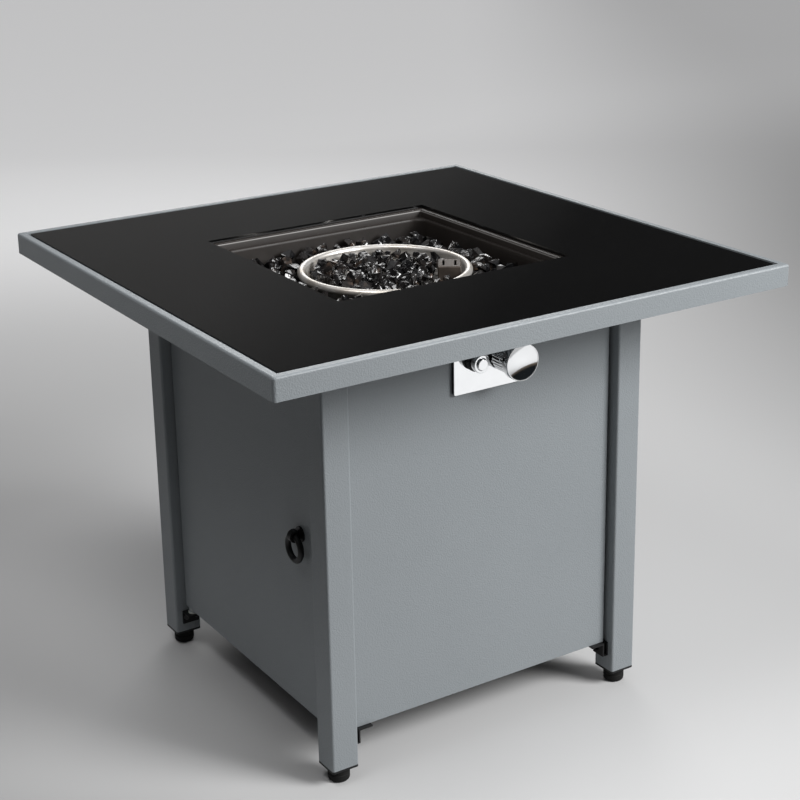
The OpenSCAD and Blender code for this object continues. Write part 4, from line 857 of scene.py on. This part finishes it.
button = turned("push_button", [
    (0, button_front), (0.0030, button_front), (0.0062, button_front), (0.0065, button_front),
    (0.0068, 0.2414), (button_r, 0.2410), (button_r, 0.2359), (stop_r, 0.2359), (stop_r, stop_back),
    (0, stop_back)], 96)
button.materials.append(chrome)
as_piece("push_button", facing_front(button, button_x, control_z), "igniter_button", "button")
wire_spring("button_spring", "igniter_spring")
dress(zinc, "igniter_battery")


# Camera: set where the photograph was taken from, with the same slight tilt. The lens is shifted down a
# little, which keeps the legs more upright in the picture.
azimuth, elevation, roll = (math.radians(a) for a in (-32.3659, 17.5062, -1.0427))
level = math.cos(elevation)
back = Vector((math.sin(azimuth) * level, -math.cos(azimuth) * level, math.sin(elevation)))
right = Vector((math.cos(azimuth), math.sin(azimuth), 0))
up = back.cross(right)
tilted_right = math.cos(roll) * right + math.sin(roll) * up
tilted_up = math.cos(roll) * up - math.sin(roll) * right
lens = bpy.data.cameras.new("camera")
sensor, picture_width, focal_width = 36.0, 800, 1704.17
lens.sensor_width = sensor
lens.lens = sensor * focal_width / picture_width
lens.shift_y = -0.1
camera = bpy.data.objects.new("camera", lens)
pose = Matrix((tilted_right, tilted_up, back)).transposed().to_4x4()
camera_place = (-1.10471, -1.77635, 1.14526)
pose.translation = camera_place
camera.matrix_world = pose
bpy.context.scene.collection.objects.link(camera)
bpy.context.scene.camera = camera


# Studio: a pale grey floor with painted shade and painted light in its colour, a soft lamp at the front right
# with a weak sun behind it, and small lamps above the left edge and at the rear under a dim sky. Shaded cards
# stand where glass and plating mirror them.
floor_half = 30
sweep = bmesh.new()
bmesh.ops.create_grid(sweep, x_segments=1, y_segments=1, size=floor_half)
ground = bpy.data.meshes.new("studio_floor")
sweep.to_mesh(ground)
sweep.free()
paper, shader, at = new_finish("studio_paper", {"Roughness": 0.85, "Specular IOR Level": 0.2})


def ramp(value, start, end):
    """A soft rise from 0 to 1 between two values."""
    return value.node("MapRange", {"interpolation_type": "SMOOTHSTEP"}, {
        "Value": value, "From Min": start, "From Max": end})


def along(at, direction):
    """How far a point lies along a direction."""
    return at.node("VectorMath", {"operation": "DOT_PRODUCT"}, {0: at, 1: direction}, out="Value")


# The paper's colour carries painted shade behind, right, in front of and left of the table, and painted light
# far back.
behind = at.node("VectorMath", {"operation": "DISTANCE"}, {0: at, 1: (0.0, 1.4, 0)}, out="Value")
paper_grey = 0.53
far_painted_light = ramp(along(at, (0.1, 1, 0)), 1.0, 3.6) * 0.46
behind_shade = ramp(behind, 1.3, 0.2) * 0.14
right_shade = ramp(along(at, (0.84, -0.54, 0)), 0.15, 1.5) * 0.32
mottle = noise(at, 0.35, 2) * 0.05
front_painted_shade = 1 - ramp(along(at, (0, 1, 0)), -0.7, -1.8) * 0.30
left_painted_shade = 1 - ramp(along(at, (1, 0.3, 0)), -0.15, -0.95) * 0.66
paper_tone_and_painted_shade = (paper_grey + far_painted_light - behind_shade - right_shade + mottle) * (front_painted_shade * left_painted_shade)
paper_tone_and_painted_shade.tint((0, 0, 0), (1, 1, 1)).into(shader, "Base Color")
ground.materials.append(paper)
floor = bpy.data.objects.new("studio_floor", ground)
bpy.context.scene.collection.objects.link(floor)
unmirrored = bpy.data.collections.new("glass_without_lamps")
unmirrored.objects.link(glass)
unmirrored.collection_objects[0].light_linking.link_state = "EXCLUDE"


def lamp(name, kind, place, target, energy, **settings):
    """A lamp aimed at a point; it lights all but the glass, which would mirror it as a white patch."""
    light = bpy.data.lights.new(name, kind)
    light.energy = energy
    for label, value in settings.items():
        setattr(light, label, value)
    holder = bpy.data.objects.new(name, light)
    holder.location = place
    holder.rotation_mode = "QUATERNION"
    holder.rotation_quaternion = (Vector(target) - Vector(place)).to_track_quat("-Z", "Y")
    holder.light_linking.receiver_collection = unmirrored
    bpy.context.scene.collection.objects.link(holder)


lamp("key", "AREA", (1.05, -1.65, 1.45), (0.0, -0.1, 0.40), energy=42, shape="SQUARE", size=0.9)
lamp("overhead", "AREA", (-0.75, -0.3, 2.1), (-0.3, 0, 0.5), energy=14, shape="SQUARE", size=0.7)
lamp("rear", "AREA", (1.2, 2.0, 1.7), (0.0, 0.1, 0.3), energy=16, shape="SQUARE", size=1.2)
lamp("sun", "SUN", (1.9, -2.6, 2.1), (0, 0, 0), energy=1.6, angle=math.radians(24))


def card(name, corners, low, high, start, rise, way=(0, 0, 1)):
    """A flat studio card that only mirror-like surfaces see, shaded from low to high along one way."""
    shell = bmesh.new()
    shell.faces.new([shell.verts.new(corner) for corner in corners])
    mesh = bpy.data.meshes.new(name)
    shell.to_mesh(mesh)
    shell.free()
    felt, shader, at = new_finish(name, {"Roughness": 1.0, "Specular IOR Level": 0.0})
    ((along(at, way) - start) * rise + noise(at, 3, 2) * 0.2).tint(low, high).into(shader, "Base Color")
    mesh.materials.append(felt)
    stand = bpy.data.objects.new(name, mesh)
    bpy.context.scene.collection.objects.link(stand)
    stand.visible_camera = stand.visible_diffuse = stand.visible_shadow = False


card("dark_card", [(0.4, -1.9, 0.005), (3.6, -1.9, 0.005), (3.6, -1.9, 0.95), (0.4, -1.9, 0.95)],
     low=(0.42, 0.33, 0.25), high=(0.022, 0.026, 0.030), start=0.0, rise=9.0)
card("floor_card", [(0.2, -1.88, 0.004), (2.6, -1.88, 0.004), (2.6, -0.9, 0.004), (0.2, -0.9, 0.004)],
     low=(0.59, 0.59, 0.59), high=(0.63, 0.63, 0.63), start=0.0, rise=1.0)
card("back_card", [(5.0, 3.4, 0.3), (-1.2, 3.4, 0.3), (-1.2, 3.4, 3.0), (5.0, 3.4, 3.0)],
     low=(0.185, 0.183, 0.18), high=(0.03, 0.03, 0.03), start=1.8, rise=1.25, way=(0.5, 0, 0.6))
world = bpy.data.worlds.new("studio")
world.use_nodes = True
bpy.context.scene.world = world
air = Shade(world.node_tree).node("TexCoord", out="Generated")
tall = air.node("SeparateXYZ", None, {0: air}, out="Z")
glow = tall.node("MapRange", {"clamp": True}, {"Value": tall, "From Min": 0.56, "From Max": 0.92})
sky_low, sky_rise = 0.035, 0.52
sky = world.node_tree.nodes["Background"]
(sky_low + glow * sky_rise).tint((0, 0, 0), (1, 1, 1.02)).into(sky, "Color")
bpy.context.scene.view_settings.view_transform = "Standard"
